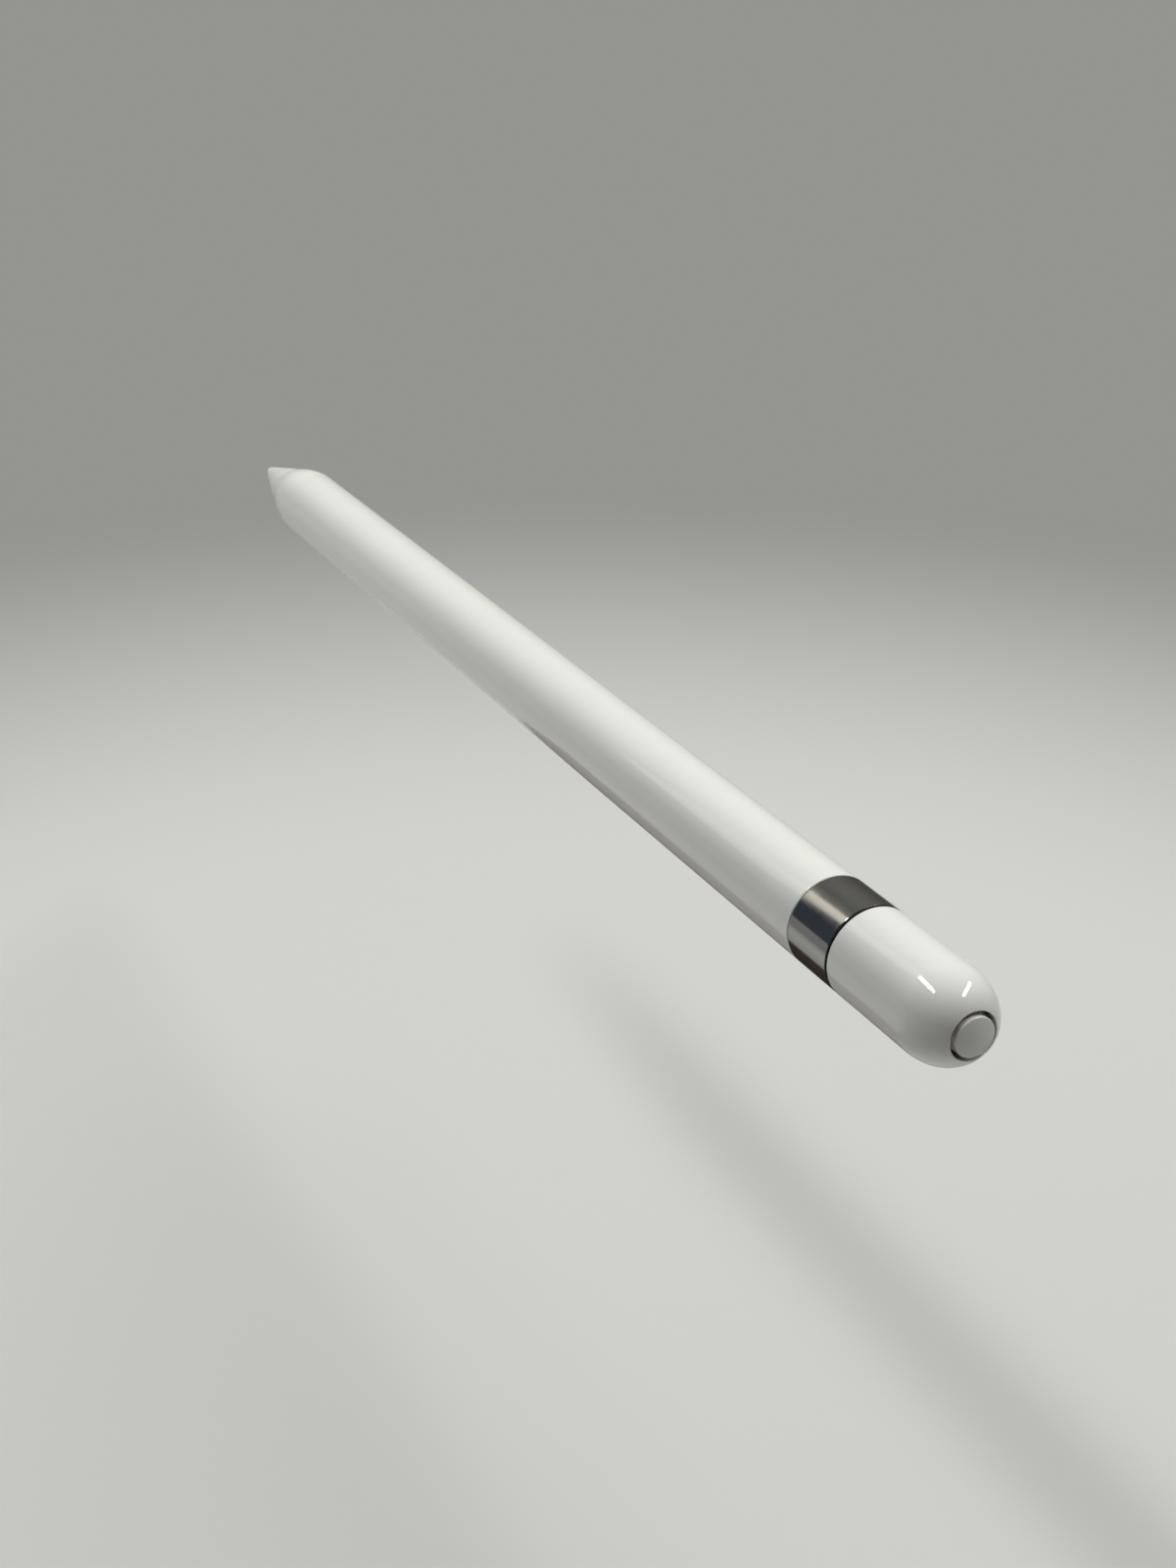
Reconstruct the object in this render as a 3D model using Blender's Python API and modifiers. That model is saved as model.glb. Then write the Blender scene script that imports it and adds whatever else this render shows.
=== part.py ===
"""Digital stylus: nib on a pressure stem, white barrel, steel band, charging plug and magnetic cap.

Every piece is modelled round a local Z axis whose stations run from the nib's point, 0, to the
cap's end, LENGTH. One empty lays that axis along world +X, with the barrel resting on Z = 0.
Heights are measured upwards from the axis, widths across it. All values are metres.
"""

import math

import bmesh
import bpy
from mathutils import Matrix

MM = 0.001

# Overall size
LENGTH = 175.7 * MM
BODY_DIAMETER = 8.9 * MM

# Fits
SEAT_GAP = 0.1 * MM
PRESS_GAP = 0.05 * MM
RUNNING_GAP = 0.08 * MM
EDGE_BREAK = 0.12 * MM
WELD = 0.00001 * MM

# Nib and nose
NOSE_ANGLE = math.radians(13.5)
NOSE_BLEND = 2.0 * MM
NIB_LENGTH = 10.6 * MM
NIB_TIP_RADIUS = 0.75 * MM
NIB_RECESS_DEPTH = 0.7 * MM
NIB_INSERT_LENGTH = 3.4 * MM
NIB_INSERT_WALL = 0.45 * MM

# Pressure stem
TIP_TRAVEL = 0.2 * MM
THREAD_RADIUS = 1.08 * MM
CONTACT_PIN_RADIUS = 0.45 * MM
CONTACT_PIN_LENGTH = 3.2 * MM
COLLAR_RADIUS = 2.2 * MM
COLLAR_LENGTH = 2.6 * MM
SHAFT_RADIUS = 1.3 * MM
SPIGOT_RADIUS = 0.85 * MM
CIRCLIP_THICKNESS = 0.6 * MM
CIRCLIP_WIDTH = 1.0 * MM
CIRCLIP_GROOVE_DEPTH = 0.25 * MM
SHOULDER_LENGTH = 1.2 * MM
SPRING_SIDE_GAP = 0.6 * MM
SPRING_THICKNESS = 0.3 * MM
SPRING_DISH = 0.5 * MM

# Barrel and the pieces in its nose
BARREL_WALL = 0.75 * MM
MOUTH_GAP = 0.2 * MM
BUSH_WALL = 1.2 * MM
BUSH_FLANGE = 1.2 * MM
TILT_RING_WALL = 0.3 * MM
TILT_RING_LENGTH = 2.4 * MM
SENSOR_HOLDER_WALL = 0.6 * MM
SENSOR_HOLDER_FLOOR = 1.2 * MM
SENSOR_THICKNESS = 1.4 * MM
SENSOR_WIRE_HOLE_RADIUS = 0.9 * MM

# Chassis, boards and cell
CHASSIS_WALL = 0.5 * MM
CHASSIS_HALF_ANGLE = math.radians(75)
BOARD_INSET = 1.5 * MM
BOARD_THICKNESS = 0.6 * MM
DECK_GAP = 1.8 * MM
MAIN_BOARD_LENGTH = 56 * MM
UPPER_BOARD_LENGTH = 34 * MM
CONNECTOR_INSET = 0.8 * MM
CONNECTOR_LENGTH = 2.4 * MM
CONNECTOR_WIDTH = 4.0 * MM
WEIGHT_DROP = 0.3 * MM
WEIGHT_LENGTH = 46 * MM
ANTENNA_LENGTH = 20 * MM
ANTENNA_THICKNESS = 0.2 * MM
ANTENNA_HALF_ANGLE = math.radians(40)
RIBBON_THICKNESS = 0.15 * MM
SENSOR_RIBBON_WIDTH = 1.2 * MM
SENSOR_RIBBON_LAP = 1.6 * MM
CLIP_WIDTH = 1.0 * MM
CLIP_FOOT = 1.8 * MM
CLIP_RUN = 2.4 * MM
CLIP_HEAD = 0.9 * MM
FOLD_WIDTH = 3.6 * MM
FOLD_THICKNESS = 0.2 * MM
CELL_RIBBON_WIDTH = 2.4 * MM
CELL_RIBBON_LAP = 5 * MM
CHARGE_RIBBON_WIDTH = 1.8 * MM
CHARGE_RIBBON_LAP = 4.5 * MM
CHARGE_RIBBON_END = 0.5 * MM
FOLD_ROOM = 0.7 * MM
CELL_BOARD_THICKNESS = 0.8 * MM
CELL_TAB_THICKNESS = 0.4 * MM
CELL_TAB_WIDTH = 1.0 * MM
CELL_TAB_HEIGHT = 2.2 * MM
CELL_TAB_SPACING = 2.6 * MM
CELL_PAD_THICKNESS = 1.0 * MM

# Rear end, plug and band
BAND_WIDTH = 6.05 * MM
BAND_SEAM = 0.1 * MM
BAND_WALL = 0.5 * MM
NECK_WALL = 0.4 * MM
NECK_REACH = 1.4 * MM
NECK_SEAT = 2.0 * MM
HOLDER_LEAD = 2.9 * MM
HOLDER_WEB = 3.6 * MM
PIVOT_OFFSET = 1.2 * MM
PIVOT_PIN_RADIUS = 0.5 * MM
PIVOT_EAR_REACH = 2.0 * MM
PLUG_SWING_ROOM = 0.5 * MM
BOOT_SIDE_GAP = 0.4 * MM
BOOT_RECESS = 0.7 * MM
BOOT_TAIL_WIDTH = 3.8 * MM
BOOT_TAIL_HEIGHT = 2.6 * MM
BOOT_TAIL_REACH = 1.9 * MM
BLADE_LENGTH = 7.4 * MM
BLADE_THICKNESS = 1.5 * MM
BLADE_EDGE_ROUND = 0.6 * MM
BLADE_CORNER = 1.3 * MM
BLADE_TANG_WIDTH = 4.0 * MM
BLADE_TANG_LENGTH = 2.4 * MM
CONTACT_COUNT = 8
CONTACT_PITCH = 0.56 * MM
CONTACT_WIDTH = 0.34 * MM
CONTACT_LENGTH = 1.9 * MM
CONTACT_SPINE = 0.4 * MM
CONTACT_THICKNESS = 0.2 * MM
CONTACT_SETBACK = 1.7 * MM
CONTACT_POCKET_DEPTH = 0.3 * MM

# Cap
CAP_LENGTH = 15.4 * MM
CAP_SEAM = 0.25 * MM
CAP_MOUTH_GAP = 0.15 * MM
CAP_BLADE_GAP = 0.2 * MM
CAP_TIP_ROOM = 1.2 * MM
DOME_LENGTH = 5.35 * MM
DOME_POWER = 2.16
END_DISC_RADIUS = 1.85 * MM
END_DISC_DEPTH = 0.8 * MM
END_GROOVE_WIDTH = 0.38 * MM
VENT_WIDTH = 1.0 * MM
VENT_TURN = math.radians(45)
MAGNET_COUNT = 6
MAGNET_LENGTH = 2.6 * MM
MAGNET_HALF_ANGLE = math.radians(24)
MAGNET_NECK_GAP = 0.5 * MM

# Facets
OUTER_SIDES = 48
INNER_SIDES = 24
PIN_SIDES = 16
DOME_STEPS = 10
ARC_STEPS = 10
TIP_STEPS = 5
BLEND_STEPS = 4
CORNER_STEPS = 5
ROUND_STEPS = 3

# Finishes: colour, roughness, metallic
WHITE_GLOSS = ((0.86, 0.86, 0.85), 0.18, 0.0)
WHITE_SATIN = ((0.84, 0.84, 0.83), 0.4, 0.0)
POLISHED_STEEL = ((0.62, 0.61, 0.6), 0.08, 1.0)
PLAIN_STEEL = ((0.5, 0.5, 0.5), 0.35, 1.0)
NICKEL = ((0.66, 0.63, 0.57), 0.25, 1.0)
BRASS = ((0.72, 0.53, 0.24), 0.3, 1.0)
GOLD_PLATE = ((0.83, 0.63, 0.26), 0.2, 1.0)
ALUMINIUM = ((0.7, 0.71, 0.72), 0.4, 1.0)
DARK_BOARD = ((0.03, 0.06, 0.05), 0.5, 0.0)
BLACK_RESIN = ((0.03, 0.03, 0.03), 0.55, 0.0)
AMBER_FILM = ((0.45, 0.2, 0.04), 0.45, 0.0)
GREY_RESIN = ((0.35, 0.35, 0.36), 0.5, 0.0)
GREY_FOAM = ((0.16, 0.16, 0.17), 0.9, 0.0)
CERAMIC = ((0.75, 0.73, 0.68), 0.45, 0.0)

# Radii, from the outside in
body_radius = BODY_DIAMETER / 2
bore_radius = body_radius - BARREL_WALL
fitted_radius = bore_radius - SEAT_GAP
chassis_inner = fitted_radius - CHASSIS_WALL
cell_radius = chassis_inner - SEAT_GAP
band_inner = body_radius - BAND_WALL
neck_outer = band_inner - SEAT_GAP
neck_inner = neck_outer - NECK_WALL
holder_radius = neck_inner - SEAT_GAP
blade_half_width = neck_inner - SEAT_GAP
boot_radius = neck_inner - BOOT_SIDE_GAP
mouth_radius = COLLAR_RADIUS + MOUTH_GAP
insert_inner = THREAD_RADIUS + RUNNING_GAP
insert_outer = insert_inner + NIB_INSERT_WALL
sensor_holder_inner = fitted_radius - SENSOR_HOLDER_WALL
spring_outer = sensor_holder_inner - SPRING_SIDE_GAP
bush_bore = SHAFT_RADIUS + RUNNING_GAP
bush_sleeve = bush_bore + BUSH_WALL
tilt_ring_inner = bush_sleeve + SEAT_GAP
tilt_ring_outer = tilt_ring_inner + TILT_RING_WALL
cap_pocket_radius = neck_outer + CAP_MOUTH_GAP
cap_cavity_radius = blade_half_width + CAP_BLADE_GAP
end_bore_radius = END_DISC_RADIUS + END_GROOVE_WIDTH

# Nose outline: a round tip, a straight cone and a soft blend into the barrel
nose_slope = math.tan(NOSE_ANGLE)
cone_start = NIB_TIP_RADIUS * (1 - math.sin(NOSE_ANGLE))
cone_start_radius = NIB_TIP_RADIUS * math.cos(NOSE_ANGLE)
cone_end = cone_start + (body_radius - cone_start_radius) / nose_slope
blend_start = cone_end - NOSE_BLEND
blend_end = cone_end + NOSE_BLEND


def nose_radius(station):
    """Outside radius of the nib and the barrel's nose behind the round tip."""
    if station >= blend_end:
        return body_radius
    if station > blend_start:
        return body_radius - nose_slope * (blend_end - station) ** 2 / (4 * NOSE_BLEND)
    return cone_start_radius + nose_slope * (station - cone_start)


def cone_station(radius):
    """Station where the straight cone has this radius."""
    return cone_start + (radius - cone_start_radius) / nose_slope


def dome_depth(radius):
    """How far below the dome's crown its surface has this radius."""
    return DOME_LENGTH * (1 - (1 - (radius / body_radius) ** DOME_POWER) ** (1 / DOME_POWER))


# Stations, from the nib back
recess_floor = NIB_LENGTH - NIB_RECESS_DEPTH
insert_front = recess_floor - NIB_INSERT_LENGTH
collar_front = recess_floor + SEAT_GAP
collar_rear = collar_front + COLLAR_LENGTH
thread_front = insert_front + SEAT_GAP
contact_pin_front = thread_front - CONTACT_PIN_LENGTH
barrel_front = NIB_LENGTH + TIP_TRAVEL + SEAT_GAP
mouth_end = cone_station(tilt_ring_outer + SEAT_GAP + BARREL_WALL)
bush_front = mouth_end + SEAT_GAP
flange_front = max(blend_end, bush_front + TILT_RING_LENGTH + SEAT_GAP) + SEAT_GAP
bush_rear = flange_front + BUSH_FLANGE
circlip_front = bush_rear + SEAT_GAP
circlip_rear = circlip_front + CIRCLIP_THICKNESS
stem_shoulder = circlip_rear + SHOULDER_LENGTH
spring_front = stem_shoulder + TIP_TRAVEL + SEAT_GAP
spring_rear = spring_front + SPRING_THICKNESS + SPRING_DISH
sensor_front = spring_rear + SEAT_GAP
sensor_rear = sensor_front + SENSOR_THICKNESS
stem_end = sensor_front - TIP_TRAVEL - SEAT_GAP
sensor_holder_front = bush_rear + SEAT_GAP
sensor_floor = sensor_rear + SEAT_GAP
sensor_holder_rear = sensor_floor + SENSOR_HOLDER_FLOOR
chassis_front = sensor_holder_rear + SEAT_GAP
board_front = chassis_front + BOARD_INSET
board_rear = board_front + MAIN_BOARD_LENGTH
upper_board_front = board_rear - UPPER_BOARD_LENGTH

# Stations, from the cap forward
cap_front = LENGTH - CAP_LENGTH
dome_crown = LENGTH + dome_depth(END_DISC_RADIUS)
band_rear = cap_front - CAP_SEAM
band_front = band_rear - BAND_WIDTH
barrel_rear = band_front - BAND_SEAM
neck_front = barrel_rear - NECK_SEAT
neck_rear = band_rear + NECK_REACH
holder_front = neck_front - HOLDER_LEAD
holder_web_rear = holder_front + HOLDER_WEB
pivot_station = band_front + PIVOT_OFFSET
holder_rear = pivot_station + PIVOT_EAR_REACH
boot_disc_front = holder_rear + PLUG_SWING_ROOM
boot_face = neck_rear - BOOT_RECESS
blade_shoulder = boot_face + SEAT_GAP
blade_tip = blade_shoulder + BLADE_LENGTH
cavity_end = blade_tip + CAP_TIP_ROOM
magnet_front = neck_rear + MAGNET_NECK_GAP
magnet_rear = magnet_front + MAGNET_LENGTH
chassis_rear = holder_front - SEAT_GAP

# The cell fills the room between the boards and the rear holder
deck_half = DECK_GAP / 2
deck_outer = deck_half + BOARD_THICKNESS
fold_radius = deck_half + BOARD_THICKNESS / 2
fold_rear = board_rear + SEAT_GAP + fold_radius + FOLD_THICKNESS / 2
cell_board_front = fold_rear + FOLD_ROOM
cell_board_rear = cell_board_front + CELL_BOARD_THICKNESS
cell_front = cell_board_rear + CELL_TAB_THICKNESS + 2 * PRESS_GAP
cell_pad_rear = holder_front - SEAT_GAP
cell_pad_front = cell_pad_rear - CELL_PAD_THICKNESS
cell_rear = cell_pad_front - SEAT_GAP
board_half_width = math.sqrt(cell_radius ** 2 - deck_outer ** 2)


def remove_everything():
    for old in list(bpy.data.objects):
        bpy.data.objects.remove(old, do_unlink=True)


def new_collection(name):
    collection = bpy.data.collections.new(name)
    bpy.context.scene.collection.children.link(collection)
    return collection


def new_empty(name, station, parent):
    """An empty on the stylus axis, which carries the pieces of one moving or fixed group."""
    empty = bpy.data.objects.new(name, None)
    empty.parent = parent
    empty.location.z = station
    parts.objects.link(empty)
    return empty


def new_material(name, finish):
    colour, roughness, metallic = finish
    material = bpy.data.materials.new(name)
    material.use_nodes = True
    shader = material.node_tree.nodes["Principled BSDF"]
    shader.inputs["Base Color"].default_value = (*colour, 1)
    shader.inputs["Roughness"].default_value = roughness
    shader.inputs["Metallic"].default_value = metallic
    return material


def new_piece(name, data, finish, carrier, placement=Matrix()):
    """One named piece; its data is in stylus stations, so its carrier's own station is taken off."""
    piece = bpy.data.objects.new(name, data)
    piece.parent = carrier
    piece.matrix_local = Matrix.Translation((0, 0, -carrier_station[carrier.name])) @ placement
    data.materials.append(new_material(name, finish))
    parts.objects.link(piece)
    return piece


def new_cutter(name, mesh, carrier, placement=Matrix()):
    """A shape that is only subtracted from a piece."""
    cutter = bpy.data.objects.new(name, mesh)
    cutter.parent = carrier
    cutter.matrix_local = Matrix.Translation((0, 0, -carrier_station[carrier.name])) @ placement
    cutter.hide_render = True
    cutter.display_type = "WIRE"
    cutters.objects.link(cutter)
    return cutter


def combine(piece, tool, operation="DIFFERENCE"):
    boolean = piece.modifiers.new(tool.name, "BOOLEAN")
    boolean.operation = operation
    boolean.solver = "EXACT"
    boolean.object = tool


def smooth(mesh):
    mesh.shade_smooth()
    mesh.set_sharp_from_angle(angle=math.radians(30))


def turned(name, profile, finish, carrier, sides=INNER_SIDES):
    """A turned piece from (radius, station) points that run forward down its outside.

    A profile that starts and ends on the axis is a solid; any other is closed into a ring.
    A flat of the polygon faces down, and radii are measured to the flats.
    """
    to_corner = 1 / math.cos(math.pi / sides)
    points = [(radius * to_corner, 0, station) for radius, station in profile]
    edges = [(i, i + 1) for i in range(len(points) - 1)]
    if profile[0][0] > 0:
        edges.append((len(points) - 1, 0))
    mesh = bpy.data.meshes.new(name)
    mesh.from_pydata(points, edges, [])
    piece = new_piece(name, mesh, finish, carrier, Matrix.Rotation(math.pi / sides, 4, "Z"))
    screw = piece.modifiers.new("Turn", "SCREW")
    screw.axis = "Z"
    screw.angle = 2 * math.pi
    screw.steps = sides
    screw.render_steps = sides
    screw.use_smooth_shade = True
    screw.use_merge_vertices = True
    screw.merge_threshold = WELD
    return piece


def box_mesh(name, stations, width, heights):
    """A box between two stations and two heights, centred across the axis unless width is a pair."""
    sides = width if isinstance(width, tuple) else (-width / 2, width / 2)
    mesh = bpy.data.meshes.new(name)
    box = bmesh.new()
    bmesh.ops.create_cube(box, size=1)
    size = (heights[1] - heights[0], sides[1] - sides[0], stations[1] - stations[0])
    middle = (-sum(heights) / 2, sum(sides) / 2, sum(stations) / 2)
    bmesh.ops.scale(box, vec=size, verts=box.verts)
    bmesh.ops.translate(box, vec=middle, verts=box.verts)
    box.to_mesh(mesh)
    box.free()
    return mesh


def block(name, stations, width, heights, finish, carrier):
    return new_piece(name, box_mesh(name, stations, width, heights), finish, carrier)


def cross_cylinder(name, radius, length, station):
    """A cylinder across the stylus, along its width."""
    mesh = bpy.data.meshes.new(name)
    rod = bmesh.new()
    size = {"radius1": radius, "radius2": radius, "depth": length}
    bmesh.ops.create_cone(rod, cap_ends=True, segments=PIN_SIDES, **size)
    bmesh.ops.rotate(rod, matrix=Matrix.Rotation(math.pi / 2, 3, "X"), verts=rod.verts)
    bmesh.ops.translate(rod, vec=(0, 0, station), verts=rod.verts)
    rod.to_mesh(mesh)
    rod.free()
    smooth(mesh)
    return mesh


def outline_curve(name, outline, thickness):
    """A flat filled outline in its own XY plane, extruded both ways along its Z."""
    curve = bpy.data.curves.new(name, "CURVE")
    curve.dimensions = "2D"
    curve.fill_mode = "BOTH"
    curve.extrude = thickness / 2
    spline = curve.splines.new("POLY")
    spline.points.add(len(outline) - 1)
    for point, (x, y) in zip(spline.points, outline):
        point.co = (x, y, 0, 1)
    spline.use_cyclic_u = True
    return curve


def outline_mesh(name, outline, thickness):
    """The same extruded outline as a welded mesh, for a piece that is cut or rounded."""
    curve = outline_curve(name + "_outline", outline, thickness)
    helper = bpy.data.objects.new(curve.name, curve)
    parts.objects.link(helper)
    evaluated = helper.evaluated_get(bpy.context.evaluated_depsgraph_get())
    mesh = bpy.data.meshes.new_from_object(evaluated)
    bpy.data.objects.remove(helper)
    welded = bmesh.new()
    welded.from_mesh(mesh)
    bmesh.ops.remove_doubles(welded, verts=welded.verts, dist=WELD)
    flat = math.radians(1)
    bmesh.ops.dissolve_limit(welded, angle_limit=flat, verts=welded.verts, edges=welded.edges)
    welded.to_mesh(mesh)
    welded.free()
    mesh.name = name
    return mesh


def round_rims(mesh, radius, beyond):
    """Round both rims of an extruded outline where they lie past this first coordinate."""
    shape = bmesh.new()
    shape.from_mesh(mesh)
    rims = [
        edge
        for edge in shape.edges
        if abs(edge.verts[0].co.z - edge.verts[1].co.z) < WELD
        and max(vert.co.x for vert in edge.verts) > beyond + WELD
    ]
    bmesh.ops.bevel(shape, geom=rims, offset=radius, segments=ROUND_STEPS, profile=0.5, affect="EDGES")
    shape.to_mesh(mesh)
    shape.free()
    smooth(mesh)


# Outline planes: a side view is (station, height), a top view is (station, width)
SIDE_VIEW = Matrix(((0, -1, 0, 0), (0, 0, -1, 0), (1, 0, 0, 0), (0, 0, 0, 1)))
TOP_VIEW = Matrix(((0, 0, -1, 0), (0, 1, 0, 0), (1, 0, 0, 0), (0, 0, 0, 1)))


def arc_points(radius, start, end, steps=ARC_STEPS):
    """Points round the axis; the angle runs from straight down, and across the width."""
    angles = [start + (end - start) * i / steps for i in range(steps + 1)]
    return [(radius * math.cos(angle), radius * math.sin(angle)) for angle in angles]


def arc_plate(name, radii, centre, half_angle, stations, finish, carrier):
    """A plate curved round the axis, with an even wall."""
    outer = arc_points(radii[1], centre - half_angle, centre + half_angle)
    inner = arc_points(radii[0], centre + half_angle, centre - half_angle)
    curve = outline_curve(name, outer + inner, stations[1] - stations[0])
    middle = Matrix.Translation((0, 0, sum(stations) / 2))
    return new_piece(name, curve, finish, carrier, middle)


def eased(start, end):
    """Points of a soft S from one (station, height) point to another."""
    points = []
    for i in range(ARC_STEPS + 1):
        share = i / ARC_STEPS
        rise = (1 - math.cos(math.pi * share)) / 2
        points.append((start[0] + (end[0] - start[0]) * share, start[1] + (end[1] - start[1]) * rise))
    return points


def ribbon(name, path, width, thickness, finish, carrier):
    """A thin strip of even thickness along (station, height) points."""
    above, below = [], []
    for i, (station, height) in enumerate(path):
        before, after = path[max(i - 1, 0)], path[min(i + 1, len(path) - 1)]
        along = (after[0] - before[0], after[1] - before[1])
        half = thickness / 2 / math.hypot(*along)
        above.append((station - along[1] * half, height + along[0] * half))
        below.append((station + along[1] * half, height - along[0] * half))
    curve = outline_curve(name, below + above[::-1], width)
    return new_piece(name, curve, finish, carrier, SIDE_VIEW)


def make_nib():
    """Plastic nib, drilled from behind, with a threaded metal insert."""
    pin_hole = CONTACT_PIN_RADIUS + SEAT_GAP
    insert_bore = insert_outer + PRESS_GAP
    tip_arc = []
    for i in range(TIP_STEPS):
        angle = NOSE_ANGLE + (math.pi / 2 - NOSE_ANGLE) * i / TIP_STEPS
        tip_arc.append((NIB_TIP_RADIUS * math.cos(angle), NIB_TIP_RADIUS * (1 - math.sin(angle))))
    rear_radius = nose_radius(NIB_LENGTH)
    profile = [
        (0, contact_pin_front - SEAT_GAP),
        (pin_hole, contact_pin_front - SEAT_GAP),
        (pin_hole, insert_front - SEAT_GAP),
        (insert_bore, insert_front - SEAT_GAP),
        (insert_bore, recess_floor),
        (mouth_radius, recess_floor),
        (mouth_radius, NIB_LENGTH),
        (rear_radius - EDGE_BREAK, NIB_LENGTH),
        (nose_radius(NIB_LENGTH - EDGE_BREAK), NIB_LENGTH - EDGE_BREAK),
        *tip_arc,
        (0, 0),
    ]
    turned("nib_shell", profile, WHITE_SATIN, nib, OUTER_SIDES)
    insert_rear = recess_floor - PRESS_GAP
    ring = [
        (insert_outer, insert_rear),
        (insert_outer, insert_front),
        (insert_inner, insert_front),
        (insert_inner, insert_rear),
    ]
    turned("nib_insert", ring, BRASS, nib)


def make_stem():
    """Steel stem that takes the nib's thread and presses the force sensor, with its circlip."""
    groove = SHAFT_RADIUS - CIRCLIP_GROOVE_DEPTH
    profile = [
        (0, stem_end),
        (SPIGOT_RADIUS, stem_end),
        (SPIGOT_RADIUS, stem_shoulder),
        (SHAFT_RADIUS, stem_shoulder),
        (SHAFT_RADIUS, circlip_rear + PRESS_GAP),
        (groove, circlip_rear + PRESS_GAP),
        (groove, circlip_front - PRESS_GAP),
        (SHAFT_RADIUS, circlip_front - PRESS_GAP),
        (SHAFT_RADIUS, collar_rear),
        (COLLAR_RADIUS, collar_rear),
        (COLLAR_RADIUS, collar_front),
        (THREAD_RADIUS, collar_front),
        (THREAD_RADIUS, thread_front),
        (CONTACT_PIN_RADIUS, thread_front),
        (CONTACT_PIN_RADIUS, contact_pin_front + CONTACT_PIN_RADIUS),
        (0, contact_pin_front),
    ]
    turned("tip_stem", profile, NICKEL, stem)
    clip_inner = groove + PRESS_GAP
    clip_outer = clip_inner + CIRCLIP_WIDTH
    clip = [
        (clip_outer, circlip_rear),
        (clip_outer, circlip_front),
        (clip_inner, circlip_front),
        (clip_inner, circlip_rear),
    ]
    turned("stem_circlip", clip, PLAIN_STEEL, stem)


def make_nose():
    """Bush, tilt electrode, spring washer, force sensor and its holder, inside the nose."""
    bush = [
        (fitted_radius, bush_rear),
        (fitted_radius, flange_front),
        (bush_sleeve, flange_front),
        (bush_sleeve, bush_front),
        (bush_bore, bush_front),
        (bush_bore, bush_rear),
    ]
    turned("nose_bush", bush, GREY_RESIN, body)
    ring_rear = flange_front - SEAT_GAP
    ring_front = ring_rear - TILT_RING_LENGTH
    tilt_ring = [
        (tilt_ring_outer, ring_rear),
        (tilt_ring_outer, ring_front),
        (tilt_ring_inner, ring_front),
        (tilt_ring_inner, ring_rear),
    ]
    turned("tilt_ring", tilt_ring, BRASS, body)
    spring_inner = SPIGOT_RADIUS + SEAT_GAP
    spring = [
        (spring_outer, spring_rear),
        (spring_outer, spring_rear - SPRING_THICKNESS),
        (spring_inner, spring_front),
        (spring_inner, spring_front + SPRING_THICKNESS),
    ]
    turned("stem_spring", spring, PLAIN_STEEL, body)
    sensor_radius = sensor_holder_inner - SEAT_GAP
    sensor = [
        (0, sensor_rear),
        (sensor_radius, sensor_rear),
        (sensor_radius, sensor_front),
        (0, sensor_front),
    ]
    turned("force_sensor", sensor, CERAMIC, body)
    holder = [
        (fitted_radius, sensor_holder_rear),
        (fitted_radius, sensor_holder_front),
        (sensor_holder_inner, sensor_holder_front),
        (sensor_holder_inner, sensor_floor),
        (SENSOR_WIRE_HOLE_RADIUS, sensor_floor),
        (SENSOR_WIRE_HOLE_RADIUS, sensor_holder_rear),
    ]
    turned("sensor_holder", holder, GREY_RESIN, body)


def make_barrel():
    """White barrel, one tube with a tapered nose and a counterbore for the neck at its rear."""
    first = max(blend_start, mouth_end + EDGE_BREAK)
    stations = [blend_end + (first - blend_end) * i / BLEND_STEPS for i in range(BLEND_STEPS + 1)]
    outside = [(nose_radius(station), station) for station in stations]
    inside = [(radius - BARREL_WALL, station) for radius, station in reversed(outside)]
    counterbore = neck_front - SEAT_GAP
    profile = [
        (body_radius - EDGE_BREAK, barrel_rear),
        (body_radius, barrel_rear - EDGE_BREAK),
        *outside,
        (nose_radius(barrel_front + EDGE_BREAK), barrel_front + EDGE_BREAK),
        (nose_radius(barrel_front) - EDGE_BREAK, barrel_front),
        (mouth_radius, barrel_front),
        (mouth_radius, mouth_end),
        (nose_radius(mouth_end) - BARREL_WALL, mouth_end),
        *inside,
        (bore_radius, counterbore),
        (band_inner, counterbore),
        (band_inner, barrel_rear),
    ]
    turned("barrel_tube", profile, WHITE_GLOSS, body, OUTER_SIDES)


def make_chassis():
    """Steel trough in the bottom of the barrel, and the weight that keeps the stylus from rolling."""
    trough = (chassis_inner, fitted_radius)
    arc_plate("chassis", trough, 0, CHASSIS_HALF_ANGLE, (chassis_front, chassis_rear), PLAIN_STEEL, body)
    weight_top = deck_outer + WEIGHT_DROP
    half_angle = math.acos(weight_top / cell_radius)
    curve = outline_curve("balance_weight", arc_points(cell_radius, -half_angle, half_angle), WEIGHT_LENGTH)
    middle = Matrix.Translation((0, 0, board_front + WEIGHT_LENGTH / 2))
    new_piece("balance_weight", curve, PLAIN_STEEL, body, middle)


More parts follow.
